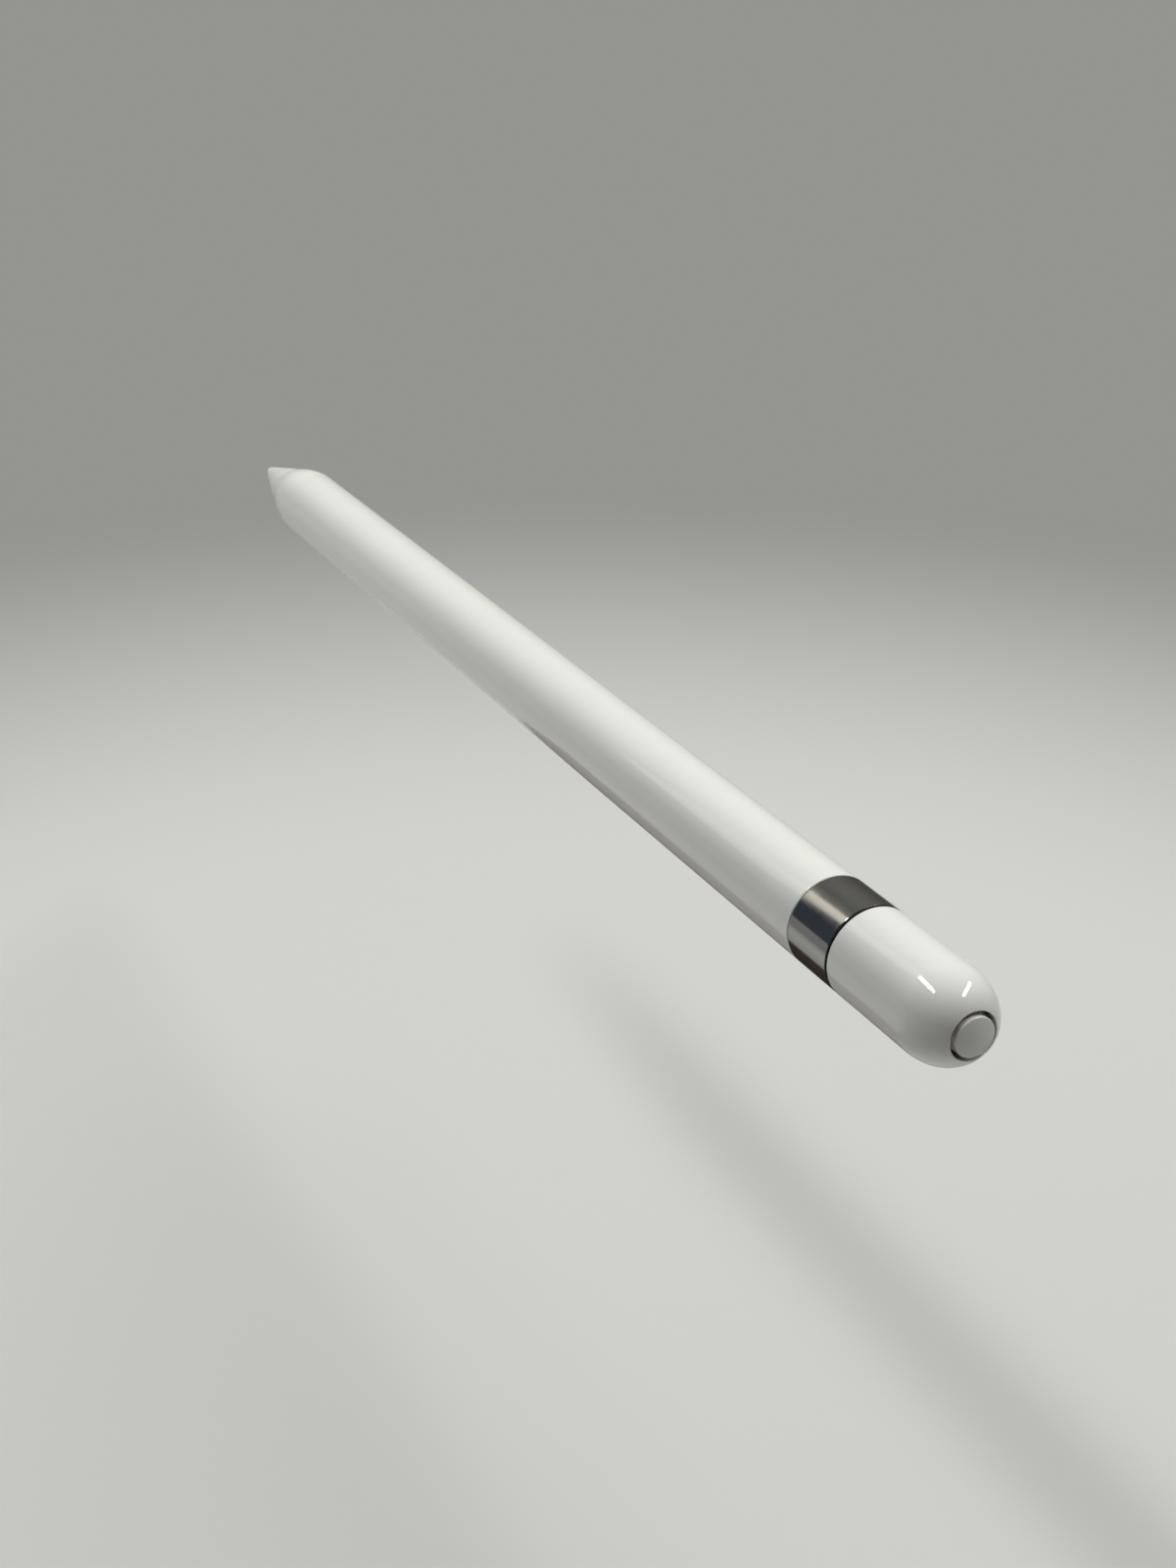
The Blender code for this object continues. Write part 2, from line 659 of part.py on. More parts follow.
def make_boards():
    """Two stacked boards joined by a folded ribbon and connectors, with the parts they carry."""
    width = 2 * board_half_width
    block("main_board", (board_front, board_rear), width, (-deck_outer, -deck_half), DARK_BOARD, body)
    block("upper_board", (upper_board_front, board_rear), width, (deck_half, deck_outer), DARK_BOARD, body)
    fold = [
        (board_rear + SEAT_GAP + fold_radius * math.cos(angle), fold_radius * math.sin(angle))
        for angle in (math.pi * (i / ARC_STEPS - 0.5) for i in range(ARC_STEPS + 1))
    ]
    ribbon("fold_ribbon", fold, FOLD_WIDTH, FOLD_THICKNESS, AMBER_FILM, body)
    # Name, place, start behind that place's front edge, length, width and height in millimetres
    fitted = (
        ("power_chip", "front", 5.0, 3.5, 3.2, 0.8, BLACK_RESIN),
        ("clock_crystal", "front", 9.0, 2.0, 1.6, 0.6, NICKEL),
        ("memory_chip", "between", 4.0, 4.0, 3.6, 0.8, BLACK_RESIN),
        ("processor_chip", "between", 10.0, 4.2, 4.2, 0.9, BLACK_RESIN),
        ("radio_chip", "between", 17.0, 4.0, 3.4, 0.8, NICKEL),
        ("charge_chip", "top", 6.0, 3.0, 3.0, 0.7, BLACK_RESIN),
        ("boost_coil", "top", 12.0, 2.6, 2.6, 0.9, GREY_RESIN),
        ("motion_sensor", "top", 18.0, 3.0, 3.0, 0.9, BLACK_RESIN),
    )
    places = {
        "front": (board_front, -deck_half),
        "between": (upper_board_front, -deck_half),
        "top": (upper_board_front, deck_outer),
    }
    for name, place, start, length, width_mm, height, finish in fitted:
        edge, deck = places[place]
        stations = (edge + start * MM, edge + (start + length) * MM)
        foot = deck + PRESS_GAP
        block(name, stations, width_mm * MM, (foot, foot + height * MM), finish, body)
    heights = (-deck_half + PRESS_GAP, deck_half - PRESS_GAP)
    front = upper_board_front + CONNECTOR_INSET
    rear = board_rear - CONNECTOR_INSET - CONNECTOR_LENGTH
    for name, start in (("front_board_connector", front), ("rear_board_connector", rear)):
        block(name, (start, start + CONNECTOR_LENGTH), CONNECTOR_WIDTH, heights, BLACK_RESIN, body)


def make_antenna():
    """Antenna strip against the top of the bore, and the spring clip that feeds it."""
    inner = fitted_radius - ANTENNA_THICKNESS
    start = board_front + SENSOR_RIBBON_LAP + SEAT_GAP
    stations = (start, start + ANTENNA_LENGTH)
    arc_plate("antenna", (inner, fitted_radius), math.pi, ANTENNA_HALF_ANGLE, stations, AMBER_FILM, body)
    foot = -deck_half + PRESS_GAP + RIBBON_THICKNESS / 2
    head = inner - SEAT_GAP - RIBBON_THICKNESS / 2
    rise_start = start + CLIP_FOOT
    rise_end = rise_start + CLIP_RUN
    path = [
        (start, foot),
        *eased((rise_start, foot), (rise_end, head)),
        (rise_end + CLIP_HEAD, head),
    ]
    ribbon("antenna_clip", path, CLIP_WIDTH, RIBBON_THICKNESS, BRASS, body)


def make_cell():
    """Cell with its board, tabs and end pad, and the ribbons that join it and the plug to the boards."""
    can = [
        (0, cell_rear),
        (cell_radius - EDGE_BREAK, cell_rear),
        (cell_radius, cell_rear - EDGE_BREAK),
        (cell_radius, cell_front + EDGE_BREAK),
        (cell_radius - EDGE_BREAK, cell_front),
        (0, cell_front),
    ]
    turned("cell", can, ALUMINIUM, body)
    for name, ends, finish in (
        ("cell_board", (cell_board_front, cell_board_rear), DARK_BOARD),
        ("cell_pad", (cell_pad_front, cell_pad_rear), GREY_FOAM),
    ):
        disc = [(0, ends[1]), (cell_radius, ends[1]), (cell_radius, ends[0]), (0, ends[0])]
        turned(name, disc, finish, body)
    tab_stations = (cell_board_rear + PRESS_GAP, cell_front - PRESS_GAP)
    tab_heights = (-CELL_TAB_HEIGHT / 2, CELL_TAB_HEIGHT / 2)
    for name, side in (("cell_tab_positive", 1), ("cell_tab_negative", -1)):
        middle = side * CELL_TAB_SPACING / 2
        sides = (middle - CELL_TAB_WIDTH / 2, middle + CELL_TAB_WIDTH / 2)
        block(name, tab_stations, sides, tab_heights, NICKEL, body)
    under_board = -deck_outer - PRESS_GAP
    stations = (board_rear - CELL_RIBBON_LAP, cell_board_front - PRESS_GAP)
    heights = (under_board - RIBBON_THICKNESS, under_board)
    block("cell_ribbon", stations, CELL_RIBBON_WIDTH, heights, AMBER_FILM, body)


def make_ribbons():
    """Ribbon from the force sensor to the main board, and the long one from the boards to the plug."""
    on_main = -deck_half + PRESS_GAP + RIBBON_THICKNESS / 2
    sensor_path = [
        (sensor_rear + 2 * SEAT_GAP, 0),
        *eased((sensor_holder_rear, 0), (board_front, on_main)),
        (board_front + SENSOR_RIBBON_LAP, on_main),
    ]
    ribbon("sensor_ribbon", sensor_path, SENSOR_RIBBON_WIDTH, RIBBON_THICKNESS, AMBER_FILM, body)
    on_upper = deck_outer + PRESS_GAP + RIBBON_THICKNESS / 2
    over_cell = cell_radius + SEAT_GAP + RIBBON_THICKNESS / 2
    at_boot = BOOT_TAIL_HEIGHT / 2 + 2 * SEAT_GAP + RIBBON_THICKNESS / 2
    charge_path = [
        (board_rear - CHARGE_RIBBON_LAP, on_upper),
        *eased((board_rear - FOLD_ROOM, on_upper), (cell_board_front - SEAT_GAP, over_cell)),
        *eased((holder_web_rear, over_cell), (pivot_station, at_boot)),
        (pivot_station + CHARGE_RIBBON_END, at_boot),
    ]
    ribbon("charge_ribbon", charge_path, CHARGE_RIBBON_WIDTH, RIBBON_THICKNESS, AMBER_FILM, body)


def make_rear():
    """Band, neck sleeve, and the holder whose ears carry the plug's pivot pin."""
    band_ring = [
        (body_radius - EDGE_BREAK, band_rear),
        (body_radius, band_rear - EDGE_BREAK),
        (body_radius, band_front + EDGE_BREAK),
        (body_radius - EDGE_BREAK, band_front),
        (band_inner, band_front),
        (band_inner, band_rear),
    ]
    turned("band", band_ring, POLISHED_STEEL, body, OUTER_SIDES)
    sleeve = [
        (neck_outer - EDGE_BREAK, neck_rear),
        (neck_outer, neck_rear - EDGE_BREAK),
        (neck_outer, neck_front),
        (neck_inner, neck_front),
        (neck_inner, neck_rear),
    ]
    turned("neck_sleeve", sleeve, PLAIN_STEEL, body, OUTER_SIDES)
    solid = [
        (0, holder_rear),
        (holder_radius, holder_rear),
        (holder_radius, holder_front),
        (0, holder_front),
    ]
    holder = turned("rear_holder", solid, GREY_RESIN, body)
    slot = box_mesh(
        "holder_slot",
        (holder_web_rear, holder_rear + HOLDER_LEAD),
        BOOT_TAIL_WIDTH + 2 * SEAT_GAP,
        (-body_radius, body_radius),
    )
    notch = box_mesh(
        "ribbon_notch",
        (holder_front - HOLDER_LEAD, holder_rear),
        CHARGE_RIBBON_WIDTH + 2 * SEAT_GAP,
        (cell_radius, body_radius),
    )
    eye = cross_cylinder("pin_eye", PIVOT_PIN_RADIUS + PRESS_GAP, BODY_DIAMETER, pivot_station)
    for mesh in (slot, notch, eye):
        combine(holder, new_cutter(mesh.name, mesh, body))
    pin_length = 2 * (holder_radius - PIVOT_PIN_RADIUS / 2)
    pin = cross_cylinder("pivot_pin", PIVOT_PIN_RADIUS, pin_length, pivot_station)
    new_piece("pivot_pin", pin, PLAIN_STEEL, body)


def make_plug():
    """Flat reversible plug: resin boot on the pivot pin, steel blade and a contact comb on each face."""
    boot_disc = [
        (0, boot_face),
        (boot_radius, boot_face),
        (boot_radius, boot_disc_front),
        (0, boot_disc_front),
    ]
    boot = turned("plug_boot", boot_disc, GREY_RESIN, plug)
    tail = box_mesh(
        "boot_tail",
        (pivot_station - BOOT_TAIL_REACH, (boot_disc_front + boot_face) / 2),
        BOOT_TAIL_WIDTH,
        (-BOOT_TAIL_HEIGHT / 2, BOOT_TAIL_HEIGHT / 2),
    )
    combine(boot, new_cutter("boot_tail", tail, plug), "UNION")
    eye = cross_cylinder("boot_eye", PIVOT_PIN_RADIUS + PRESS_GAP, BODY_DIAMETER, pivot_station)
    combine(boot, new_cutter("boot_eye", eye, plug))
    tang_front = blade_shoulder - BLADE_TANG_LENGTH
    tang_hole = box_mesh(
        "tang_hole",
        (tang_front - SEAT_GAP, boot_face + BLADE_TANG_LENGTH),
        BLADE_TANG_WIDTH + 2 * SEAT_GAP,
        (-BLADE_THICKNESS / 2 - SEAT_GAP, BLADE_THICKNESS / 2 + SEAT_GAP),
    )
    combine(boot, new_cutter("tang_hole", tang_hole, plug))

    half_tang = BLADE_TANG_WIDTH / 2
    corner_station = blade_tip - BLADE_CORNER
    corner_width = blade_half_width - BLADE_CORNER
    edge = [
        (tang_front, half_tang),
        (blade_shoulder, half_tang),
        (blade_shoulder, blade_half_width),
    ]
    for i in range(CORNER_STEPS + 1):
        angle = math.pi / 2 * i / CORNER_STEPS
        station = corner_station + BLADE_CORNER * math.sin(angle)
        edge.append((station, corner_width + BLADE_CORNER * math.cos(angle)))
    outline = edge + [(station, -width) for station, width in reversed(edge)]
    blade_mesh = outline_mesh("plug_blade", outline, BLADE_THICKNESS)
    round_rims(blade_mesh, BLADE_EDGE_ROUND, blade_shoulder)
    blade = new_piece("plug_blade", blade_mesh, POLISHED_STEEL, plug, TOP_VIEW)

    comb_width = (CONTACT_COUNT - 1) * CONTACT_PITCH + CONTACT_WIDTH
    comb_rear = blade_tip - CONTACT_SETBACK
    comb_front = comb_rear - CONTACT_LENGTH - CONTACT_SPINE
    comb = [(comb_front, comb_width / 2), (comb_front, -comb_width / 2)]
    for i in range(CONTACT_COUNT):
        middle = (i - (CONTACT_COUNT - 1) / 2) * CONTACT_PITCH
        low, high = middle - CONTACT_WIDTH / 2, middle + CONTACT_WIDTH / 2
        spine = comb_front + CONTACT_SPINE
        comb += [(spine, low), (comb_rear, low), (comb_rear, high), (spine, high)]
    del comb[2], comb[-1]
    pocket_floor = BLADE_THICKNESS / 2 - CONTACT_POCKET_DEPTH
    comb_height = pocket_floor + PRESS_GAP + CONTACT_THICKNESS / 2
    for name, side in (("contacts_upper", 1), ("contacts_lower", -1)):
        span = sorted((side * pocket_floor, side * BLADE_THICKNESS))
        pocket = box_mesh(
            name + "_pocket",
            (comb_front - SEAT_GAP, comb_rear + SEAT_GAP),
            comb_width + 2 * SEAT_GAP,
            span,
        )
        combine(blade, new_cutter(pocket.name, pocket, plug))
        lift = Matrix.Translation((-side * comb_height, 0, 0))
        new_piece(name, outline_curve(name, comb, CONTACT_THICKNESS), GOLD_PLATE, plug, lift @ TOP_VIEW)


def make_cap():
    """Cap shell with a domed end, its vented end disc, and the magnets in its mouth."""
    start_turn = math.asin((end_bore_radius / body_radius) ** (DOME_POWER / 2))
    dome = []
    for i in range(DOME_STEPS + 1):
        turn = start_turn + (math.pi / 2 - start_turn) * i / DOME_STEPS
        radius = body_radius * math.sin(turn) ** (2 / DOME_POWER)
        depth = DOME_LENGTH * (1 - max(math.cos(turn), 0) ** (2 / DOME_POWER))
        dome.append((radius, dome_crown - depth))
    pocket_end = magnet_rear + SEAT_GAP
    shell = [
        *dome,
        (body_radius, cap_front + EDGE_BREAK),
        (body_radius - EDGE_BREAK, cap_front),
        (cap_pocket_radius, cap_front),
        (cap_pocket_radius, pocket_end),
        (cap_cavity_radius, pocket_end),
        (cap_cavity_radius, cavity_end),
        (end_bore_radius, cavity_end),
    ]
    turned("cap_shell", shell, WHITE_GLOSS, cap, OUTER_SIDES)

    stem_radius = end_bore_radius - SEAT_GAP
    groove_floor = LENGTH - END_DISC_DEPTH
    disc = [
        (0, LENGTH),
        (END_DISC_RADIUS - EDGE_BREAK, LENGTH),
        (END_DISC_RADIUS, LENGTH - EDGE_BREAK),
        (END_DISC_RADIUS, groove_floor),
        (stem_radius, groove_floor),
        (stem_radius, cavity_end + SEAT_GAP),
        (0, cavity_end + SEAT_GAP),
    ]
    end_disc = turned("cap_end_disc", disc, WHITE_SATIN, cap, OUTER_SIDES)
    vents = box_mesh(
        "vents",
        (cavity_end - CAP_TIP_ROOM, groove_floor + END_DISC_DEPTH / 2),
        VENT_WIDTH,
        (END_DISC_RADIUS - EDGE_BREAK, body_radius),
    )
    # One vent is turned from straight up towards +Y, the other is opposite
    for name, turn in (("first_vent", VENT_TURN), ("second_vent", VENT_TURN + math.pi)):
        cutter = new_cutter(name, vents, cap, Matrix.Rotation(-turn, 4, "Z"))
        combine(end_disc, cutter)

    magnet_outer = cap_pocket_radius - PRESS_GAP
    for i in range(MAGNET_COUNT):
        turn = 2 * math.pi * i / MAGNET_COUNT
        radii = (cap_cavity_radius, magnet_outer)
        stations = (magnet_front, magnet_rear)
        arc_plate(f"cap_magnet_{i + 1}", radii, turn, MAGNET_HALF_ANGLE, stations, NICKEL, cap)


remove_everything()
parts = new_collection("digital_stylus")
cutters = new_collection("digital_stylus_cutters")

body = new_empty("stylus_axis", 0, None)
body.location = (-LENGTH / 2, 0, body_radius)
body.rotation_euler = (0, math.pi / 2, 0)
stem = new_empty("stem_slide", 0, body)
nib = new_empty("nib_slide", 0, stem)
cap = new_empty("cap_slide", 0, body)
plug = new_empty("plug_pivot", pivot_station, body)
carrier_station = {empty.name: 0 for empty in (body, stem, nib, cap)}
carrier_station[plug.name] = pivot_station
bpy.context.view_layer.update()

make_nib()
make_stem()
make_nose()
make_barrel()
make_chassis()
make_boards()
make_antenna()
make_cell()
make_ribbons()
make_rear()
make_plug()
make_cap()
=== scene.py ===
"""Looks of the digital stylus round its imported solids: meshes, finishes, floor, lamps and camera."""

import math

import bmesh
import bpy
from mathutils import Euler, Matrix, Quaternion, Vector


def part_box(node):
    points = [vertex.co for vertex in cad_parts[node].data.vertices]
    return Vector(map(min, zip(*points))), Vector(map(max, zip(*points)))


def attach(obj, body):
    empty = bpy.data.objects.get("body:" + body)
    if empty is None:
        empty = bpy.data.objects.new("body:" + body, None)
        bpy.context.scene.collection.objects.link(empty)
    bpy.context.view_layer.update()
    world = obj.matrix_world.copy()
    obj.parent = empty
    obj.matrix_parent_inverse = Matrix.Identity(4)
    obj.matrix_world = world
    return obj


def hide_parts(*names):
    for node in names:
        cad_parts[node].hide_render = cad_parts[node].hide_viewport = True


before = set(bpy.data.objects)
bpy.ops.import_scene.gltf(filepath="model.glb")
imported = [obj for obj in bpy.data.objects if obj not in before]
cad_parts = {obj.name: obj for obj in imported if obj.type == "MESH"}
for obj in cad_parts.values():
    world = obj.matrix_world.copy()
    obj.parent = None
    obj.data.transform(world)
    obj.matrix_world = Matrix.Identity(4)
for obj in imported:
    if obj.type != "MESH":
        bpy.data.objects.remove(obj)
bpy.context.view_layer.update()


# Pressure stem: a nickel-plated steel pin, turned to shape and then thread-rolled at the front. The nib
# screws on to the thread, the collar sits in the barrel's mouth and the rear end presses the sensor.
MM = 0.001
SHARP = math.radians(30)
WELD = 0.0001 * MM
fillet_steps = 6
lead_share = 0.49
small_sides = 96


class Wire:
    """One output of a node. Arithmetic on wires adds Math nodes to their tree."""

    def __init__(self, graph, socket):
        self.graph = graph
        self.socket = socket

    def math(self, operation, *others):
        """A Math node on this wire and the others."""
        return self.graph.add("ShaderNodeMath", {"operation": operation}, (self, *others))

    def __add__(self, other):
        return self.math("ADD", other)

    def __sub__(self, other):
        return self.math("SUBTRACT", other)

    def __rsub__(self, other):
        return self.graph.add("ShaderNodeMath", {"operation": "SUBTRACT"}, (other, self))

    def __mul__(self, other):
        return self.math("MULTIPLY", other)

    def __truediv__(self, other):
        return self.math("DIVIDE", other)

    __radd__ = __add__
    __rmul__ = __mul__

    def swing(self, size):
        """A value from 0 to 1 brought about 0, with this full swing."""
        return (self - 0.5) * size


class Graph:
    """A node tree that is filled one node at a time."""

    def __init__(self, tree):
        self.tree = tree

    def add(self, kind, settings=None, inputs=(), output=0):
        """A new node with its settings and inputs, as the wire of one of its outputs."""
        node = self.tree.nodes.new(kind)
        for name, value in (settings or {}).items():
            setattr(node, name, value)
        self.feed(node, inputs)
        return Wire(self, node.outputs[output])

    def feed(self, node, inputs):
        """Sets or links a node's inputs, listed in order or given by name or number."""
        pairs = inputs.items() if isinstance(inputs, dict) else enumerate(inputs)
        for key, value in pairs:
            if isinstance(value, Wire):
                self.tree.links.new(value.socket, node.inputs[key])
            else:
                node.inputs[key].default_value = value

    def parts(self, vector):
        """The x, y and z of a vector."""
        node = self.add("ShaderNodeSeparateXYZ", inputs=[vector]).socket.node
        return [Wire(self, socket) for socket in node.outputs]

    def reach(self, first, second):
        """The length of two values that stand at right angles."""
        return (first * first + second * second).math("SQRT")

    def ramp(self, value, low, high):
        """0 below low and 1 above high, with a soft step between."""
        soft = {"interpolation_type": "SMOOTHSTEP"}
        return self.add("ShaderNodeMapRange", soft, {"Value": value, "From Min": low, "From Max": high})

    def mix(self, share, first, second):
        """One colour passing into another."""
        first, second = ((*part, 1) if isinstance(part, tuple) else part for part in (first, second))
        return self.add("ShaderNodeMix", {"data_type": "RGBA"}, {0: share, 6: first, 7: second}, output=2)


def in_scene(name, data):
    """A new object at the origin, in the scene's own collection."""
    thing = bpy.data.objects.new(name, data)
    bpy.context.scene.collection.objects.link(thing)
    return thing


def settle(piece):
    """Turns a piece's modifiers into plain mesh."""
    made = bpy.data.meshes.new_from_object(piece.evaluated_get(bpy.context.evaluated_depsgraph_get()))
    piece.modifiers.clear()
    piece.data = made
    made.name = piece.name
    return piece


class Shape(Graph):
    """A geometry tree with named inputs, which ends as a plain mesh in one finish."""

    def __init__(self, name, **inputs):
        super().__init__(bpy.data.node_groups.new(name, "GeometryNodeTree"))
        interface = self.tree.interface
        interface.new_socket("Geometry", in_out="OUTPUT", socket_type="NodeSocketGeometry")
        self.identifiers = {}
        for label, kind in {"Geometry": "Geometry", **inputs, "Material": "Material"}.items():
            socket = interface.new_socket(label, in_out="INPUT", socket_type="NodeSocket" + kind)
            self.identifiers[label] = socket.identifier
        self.source = self.tree.nodes.new("NodeGroupInput")

    def __getitem__(self, label):
        return Wire(self, self.source.outputs[label])

    def smoothed(self, geometry):
        """Smooth faces, with edges left sharp where they turn by more than SHARP."""
        soft = self.add("GeometryNodeSetShadeSmooth", inputs={"Geometry": geometry, "Shade Smooth": True})
        angle = self.add("GeometryNodeInputMeshEdgeAngle")
        sharp = self.add("FunctionNodeCompare", {"operation": "GREATER_THAN"}, {"A": angle, "B": SHARP})
        edges = {"Geometry": soft, "Selection": sharp, "Shade Smooth": False}
        return self.add("GeometryNodeSetShadeSmooth", {"domain": "EDGE"}, edges)

    def end(self, geometry):
        """Closes the tree: no instances are left, and all faces have the finish."""
        real = self.add("GeometryNodeRealizeInstances", inputs=[geometry])
        inputs = {"Geometry": real, "Material": self["Material"]}
        painted = self.add("GeometryNodeSetMaterial", inputs=inputs)
        self.feed(self.tree.nodes.new("NodeGroupOutput"), [painted])

    def make(self, name, mesh, finish, **values):
        """The tree's result on this mesh, as a plain object at the origin."""
        piece = in_scene(name, mesh)
        modifier = piece.modifiers.new(name, "NODES")
        modifier.node_group = self.tree
        for label, value in {**values, "Material": finish.material}.items():
            modifier[self.identifiers[label]] = value
        return settle(piece)

    def remake(self, name, blank, finish, **values):
        """The tree's result on a blank piece, which is used up."""
        piece = self.make(name, blank.data, finish, **values)
        bpy.data.objects.remove(blank)
        return piece


class Finish(Graph):
    """A material with a Principled shader. Sockets that are even all over are set here by name."""

    def __init__(self, name, even):
        self.material = bpy.data.materials.new(name)
        self.material.use_nodes = True
        super().__init__(self.material.node_tree)
        self.shader = self.tree.nodes["Principled BSDF"]
        self.feed(self.shader, even)
        self.place = self.add("ShaderNodeTexCoord", output="Object")

    def noise(self, along, across, detail=2.0):
        """Noise with this many features a metre along the stylus and across it."""
        scale = {"operation": "MULTIPLY"}
        place = self.add("ShaderNodeVectorMath", scale, [self.place, (along, across, across)])
        return self.add("ShaderNodeTexNoise", inputs={"Vector": place, "Scale": 1.0, "Detail": detail})

    def bump(self, height, depth):
        """A normal from a height field whose full swing is this depth in metres."""
        return self.add("ShaderNodeBump", inputs={"Strength": 1.0, "Distance": depth, "Height": height})

    def base(self):
        """The colour that the shader has so far."""
        return Wire(self, self.shader.inputs["Base Color"].links[0].from_socket)

    def set(self, **inputs):
        """Feeds the shader's sockets, written with _ for each space."""
        self.feed(self.shader, {key.replace("_", " "): value for key, value in inputs.items()})
        return self


def shade(colour, factor):
    """A colour made darker or lighter."""
    return tuple(part * factor for part in colour)


def metal(name, colour, roughness, along=5000, across=50):
    """Worked metal with a patchy polish and fine tool lines.

    The lines run round the axis, unless their count a metre along and across says otherwise.
    """
    finish = Finish(name, {"Metallic": 1.0})
    lines = finish.noise(along, across, detail=4)
    patch = finish.noise(along=400, across=400)
    return finish.set(
        Base_Color=finish.mix(patch, shade(colour, 0.9), shade(colour, 1.06)),
        Roughness=roughness + lines.swing(0.16) + patch.swing(0.08),
        Normal=finish.bump(lines, depth=0.0006 * MM),
    )


def spaced(start, end, steps):
    """Values from start to end in even steps."""
    return [start + (end - start) * i / steps for i in range(steps + 1)]


def rounded(corners, closed=True):
    """Outline points from (station, radius, fillet) corners, with each fillet as an arc.

    A point just outside each end of an arc, where there is room, keeps the long faces beside it flat in
    their shading.
    """
    points = []
    for i, (station, radius, fillet) in enumerate(corners):
        corner = Vector((station, radius))
        if not fillet:
            points.append(corner)
            continue
        before, after = (Vector(corners[j % len(corners)][:2]) - corner for j in (i - 1, i + 1))
        back, ahead = before.normalized(), after.normalized()
        half = before.angle(after) / 2
        reach = fillet / math.tan(half)
        middle = corner + (back + ahead).normalized() * fillet / math.sin(half)
        start = corner + back * reach - middle
        turn = start.angle_signed(corner + ahead * reach - middle)
        lead, trail = (min(reach + fillet / 2, side.length * lead_share) for side in (before, after))
        if lead > reach:
            points.append(corner + back * lead)
        points += [middle + Matrix.Rotation(angle, 2) @ start for angle in spaced(0, -turn, fillet_steps)]
        if trail > reach:
            points.append(corner + ahead * trail)
    if closed:
        points.append(points[0])
    return points


def turned_shape():
    """The tree that sweeps an outline of (station, 0, radius) points round the stylus's axis."""
    tree = Shape("turned", Points="Int", Sides="Int", Height="Float")
    rows = tree["Sides"] + 1
    grid = tree.add("GeometryNodeMeshGrid", inputs={"Vertices X": tree["Points"], "Vertices Y": rows})
    index = tree.add("GeometryNodeInputIndex")
    ring = (index / rows).math("FLOOR")
    spoke = index - ring * rows
    position = tree.add("GeometryNodeInputPosition")
    drawn = {"Geometry": tree["Geometry"], "Value": position, "Index": ring}
    outline = tree.add("GeometryNodeSampleIndex", {"data_type": "FLOAT_VECTOR"}, drawn)
    station, _, radius = tree.parts(outline)
    angle = spoke / tree["Sides"] * 2 * math.pi
    across = radius * angle.math("SINE")
    up = radius * angle.math("COSINE") + tree["Height"]
    place = tree.add("ShaderNodeCombineXYZ", inputs=[station, across, up])
    swept = tree.add("GeometryNodeSetPosition", inputs={"Geometry": grid, "Position": place})
    merged = tree.add("GeometryNodeMergeByDistance", inputs={"Geometry": swept, "Distance": WELD})
    tree.end(tree.smoothed(merged))
    return tree


def face_outwards(piece):
    """Turns every face of a closed piece to the outside."""
    mesh = bmesh.new()
    mesh.from_mesh(piece.data)
    bmesh.ops.recalc_face_normals(mesh, faces=mesh.faces)
    mesh.to_mesh(piece.data)
    mesh.free()
    return piece


def turned(name, points, finish, sides=160):
    """A piece swept round the stylus's axis from its outline's (station, radius) points."""
    mesh = bpy.data.meshes.new(name + "_outline")
    edges = [(i, i + 1) for i in range(len(points) - 1)]
    mesh.from_pydata([(station, 0, radius) for station, radius in points], edges, [])
    values = {"Points": len(points), "Sides": sides, "Height": axis_height}
    return face_outwards(turned_tree.make(name, mesh, finish, **values))


barrel_low, barrel_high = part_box("barrel_tube")
axis_height = (barrel_high.z + barrel_low.z) / 2
turned_tree = turned_shape()

nickel = metal("nickel_plate", colour=(0.66, 0.63, 0.57), roughness=0.24)
stem_low, stem_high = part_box("tip_stem")
insert_low, insert_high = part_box("nib_insert")
clip_low, clip_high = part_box("stem_circlip")
pin_radius, pin_round = 0.45 * MM, 0.3 * MM
thread_radius = 1.08 * MM
thread_depth = 0.17 * MM
thread_pitch = 0.4 * MM
steps_a_turn = 10
thread_step = thread_pitch / steps_a_turn
collar_radius, collar_round = (stem_high.z - stem_low.z) / 2, 0.12 * MM
collar_length = 2.6 * MM
shaft_radius, shaft_round = 1.3 * MM, 0.1 * MM
groove_radius = 1.05 * MM
spigot_radius, spigot_round = 0.85 * MM, 0.15 * MM
shoulder_length = 1.2 * MM
seat_gap = 0.1 * MM
press_gap = 0.05 * MM
thread_front = insert_low.x + seat_gap
collar_front = insert_high.x + press_gap + seat_gap
collar_rear = collar_front + collar_length
stem_shoulder = clip_high.x + shoulder_length


def thread_shape():
    """The tree that sinks a helical groove into a turned surface between two stations and two radii."""
    sizes = ("From", "To", "Inner", "Outer", "Pitch", "Depth", "Height")
    tree = Shape("thread", **dict.fromkeys(sizes, "Float"))
    station, across, up = tree.parts(tree.add("GeometryNodeInputPosition"))
    up = up - tree["Height"]
    radius = tree.reach(across, up)
    turn = across.math("ARCTAN2", up) / (2 * math.pi)
    wave = ((station - tree["From"]) / tree["Pitch"] - turn).math("PINGPONG", 0.5) * 2
    ends = (station - tree["From"]).math("MINIMUM", tree["To"] - station) / tree["Pitch"]
    fade = ends.math("MAXIMUM", 0.0).math("MINIMUM", 1.0)
    inside = radius.math("LESS_THAN", tree["Outer"])
    outside = radius.math("GREATER_THAN", tree["Inner"])
    sink = tree["Depth"] * wave * fade * inside * outside
    scale = (radius - sink) / radius.math("MAXIMUM", WELD)
    height = up * scale + tree["Height"]
    place = tree.add("ShaderNodeCombineXYZ", inputs=[station, across * scale, height])
    cut = tree.add("GeometryNodeSetPosition", inputs={"Geometry": tree["Geometry"], "Position": place})
    tree.end(tree.smoothed(cut))
    return tree


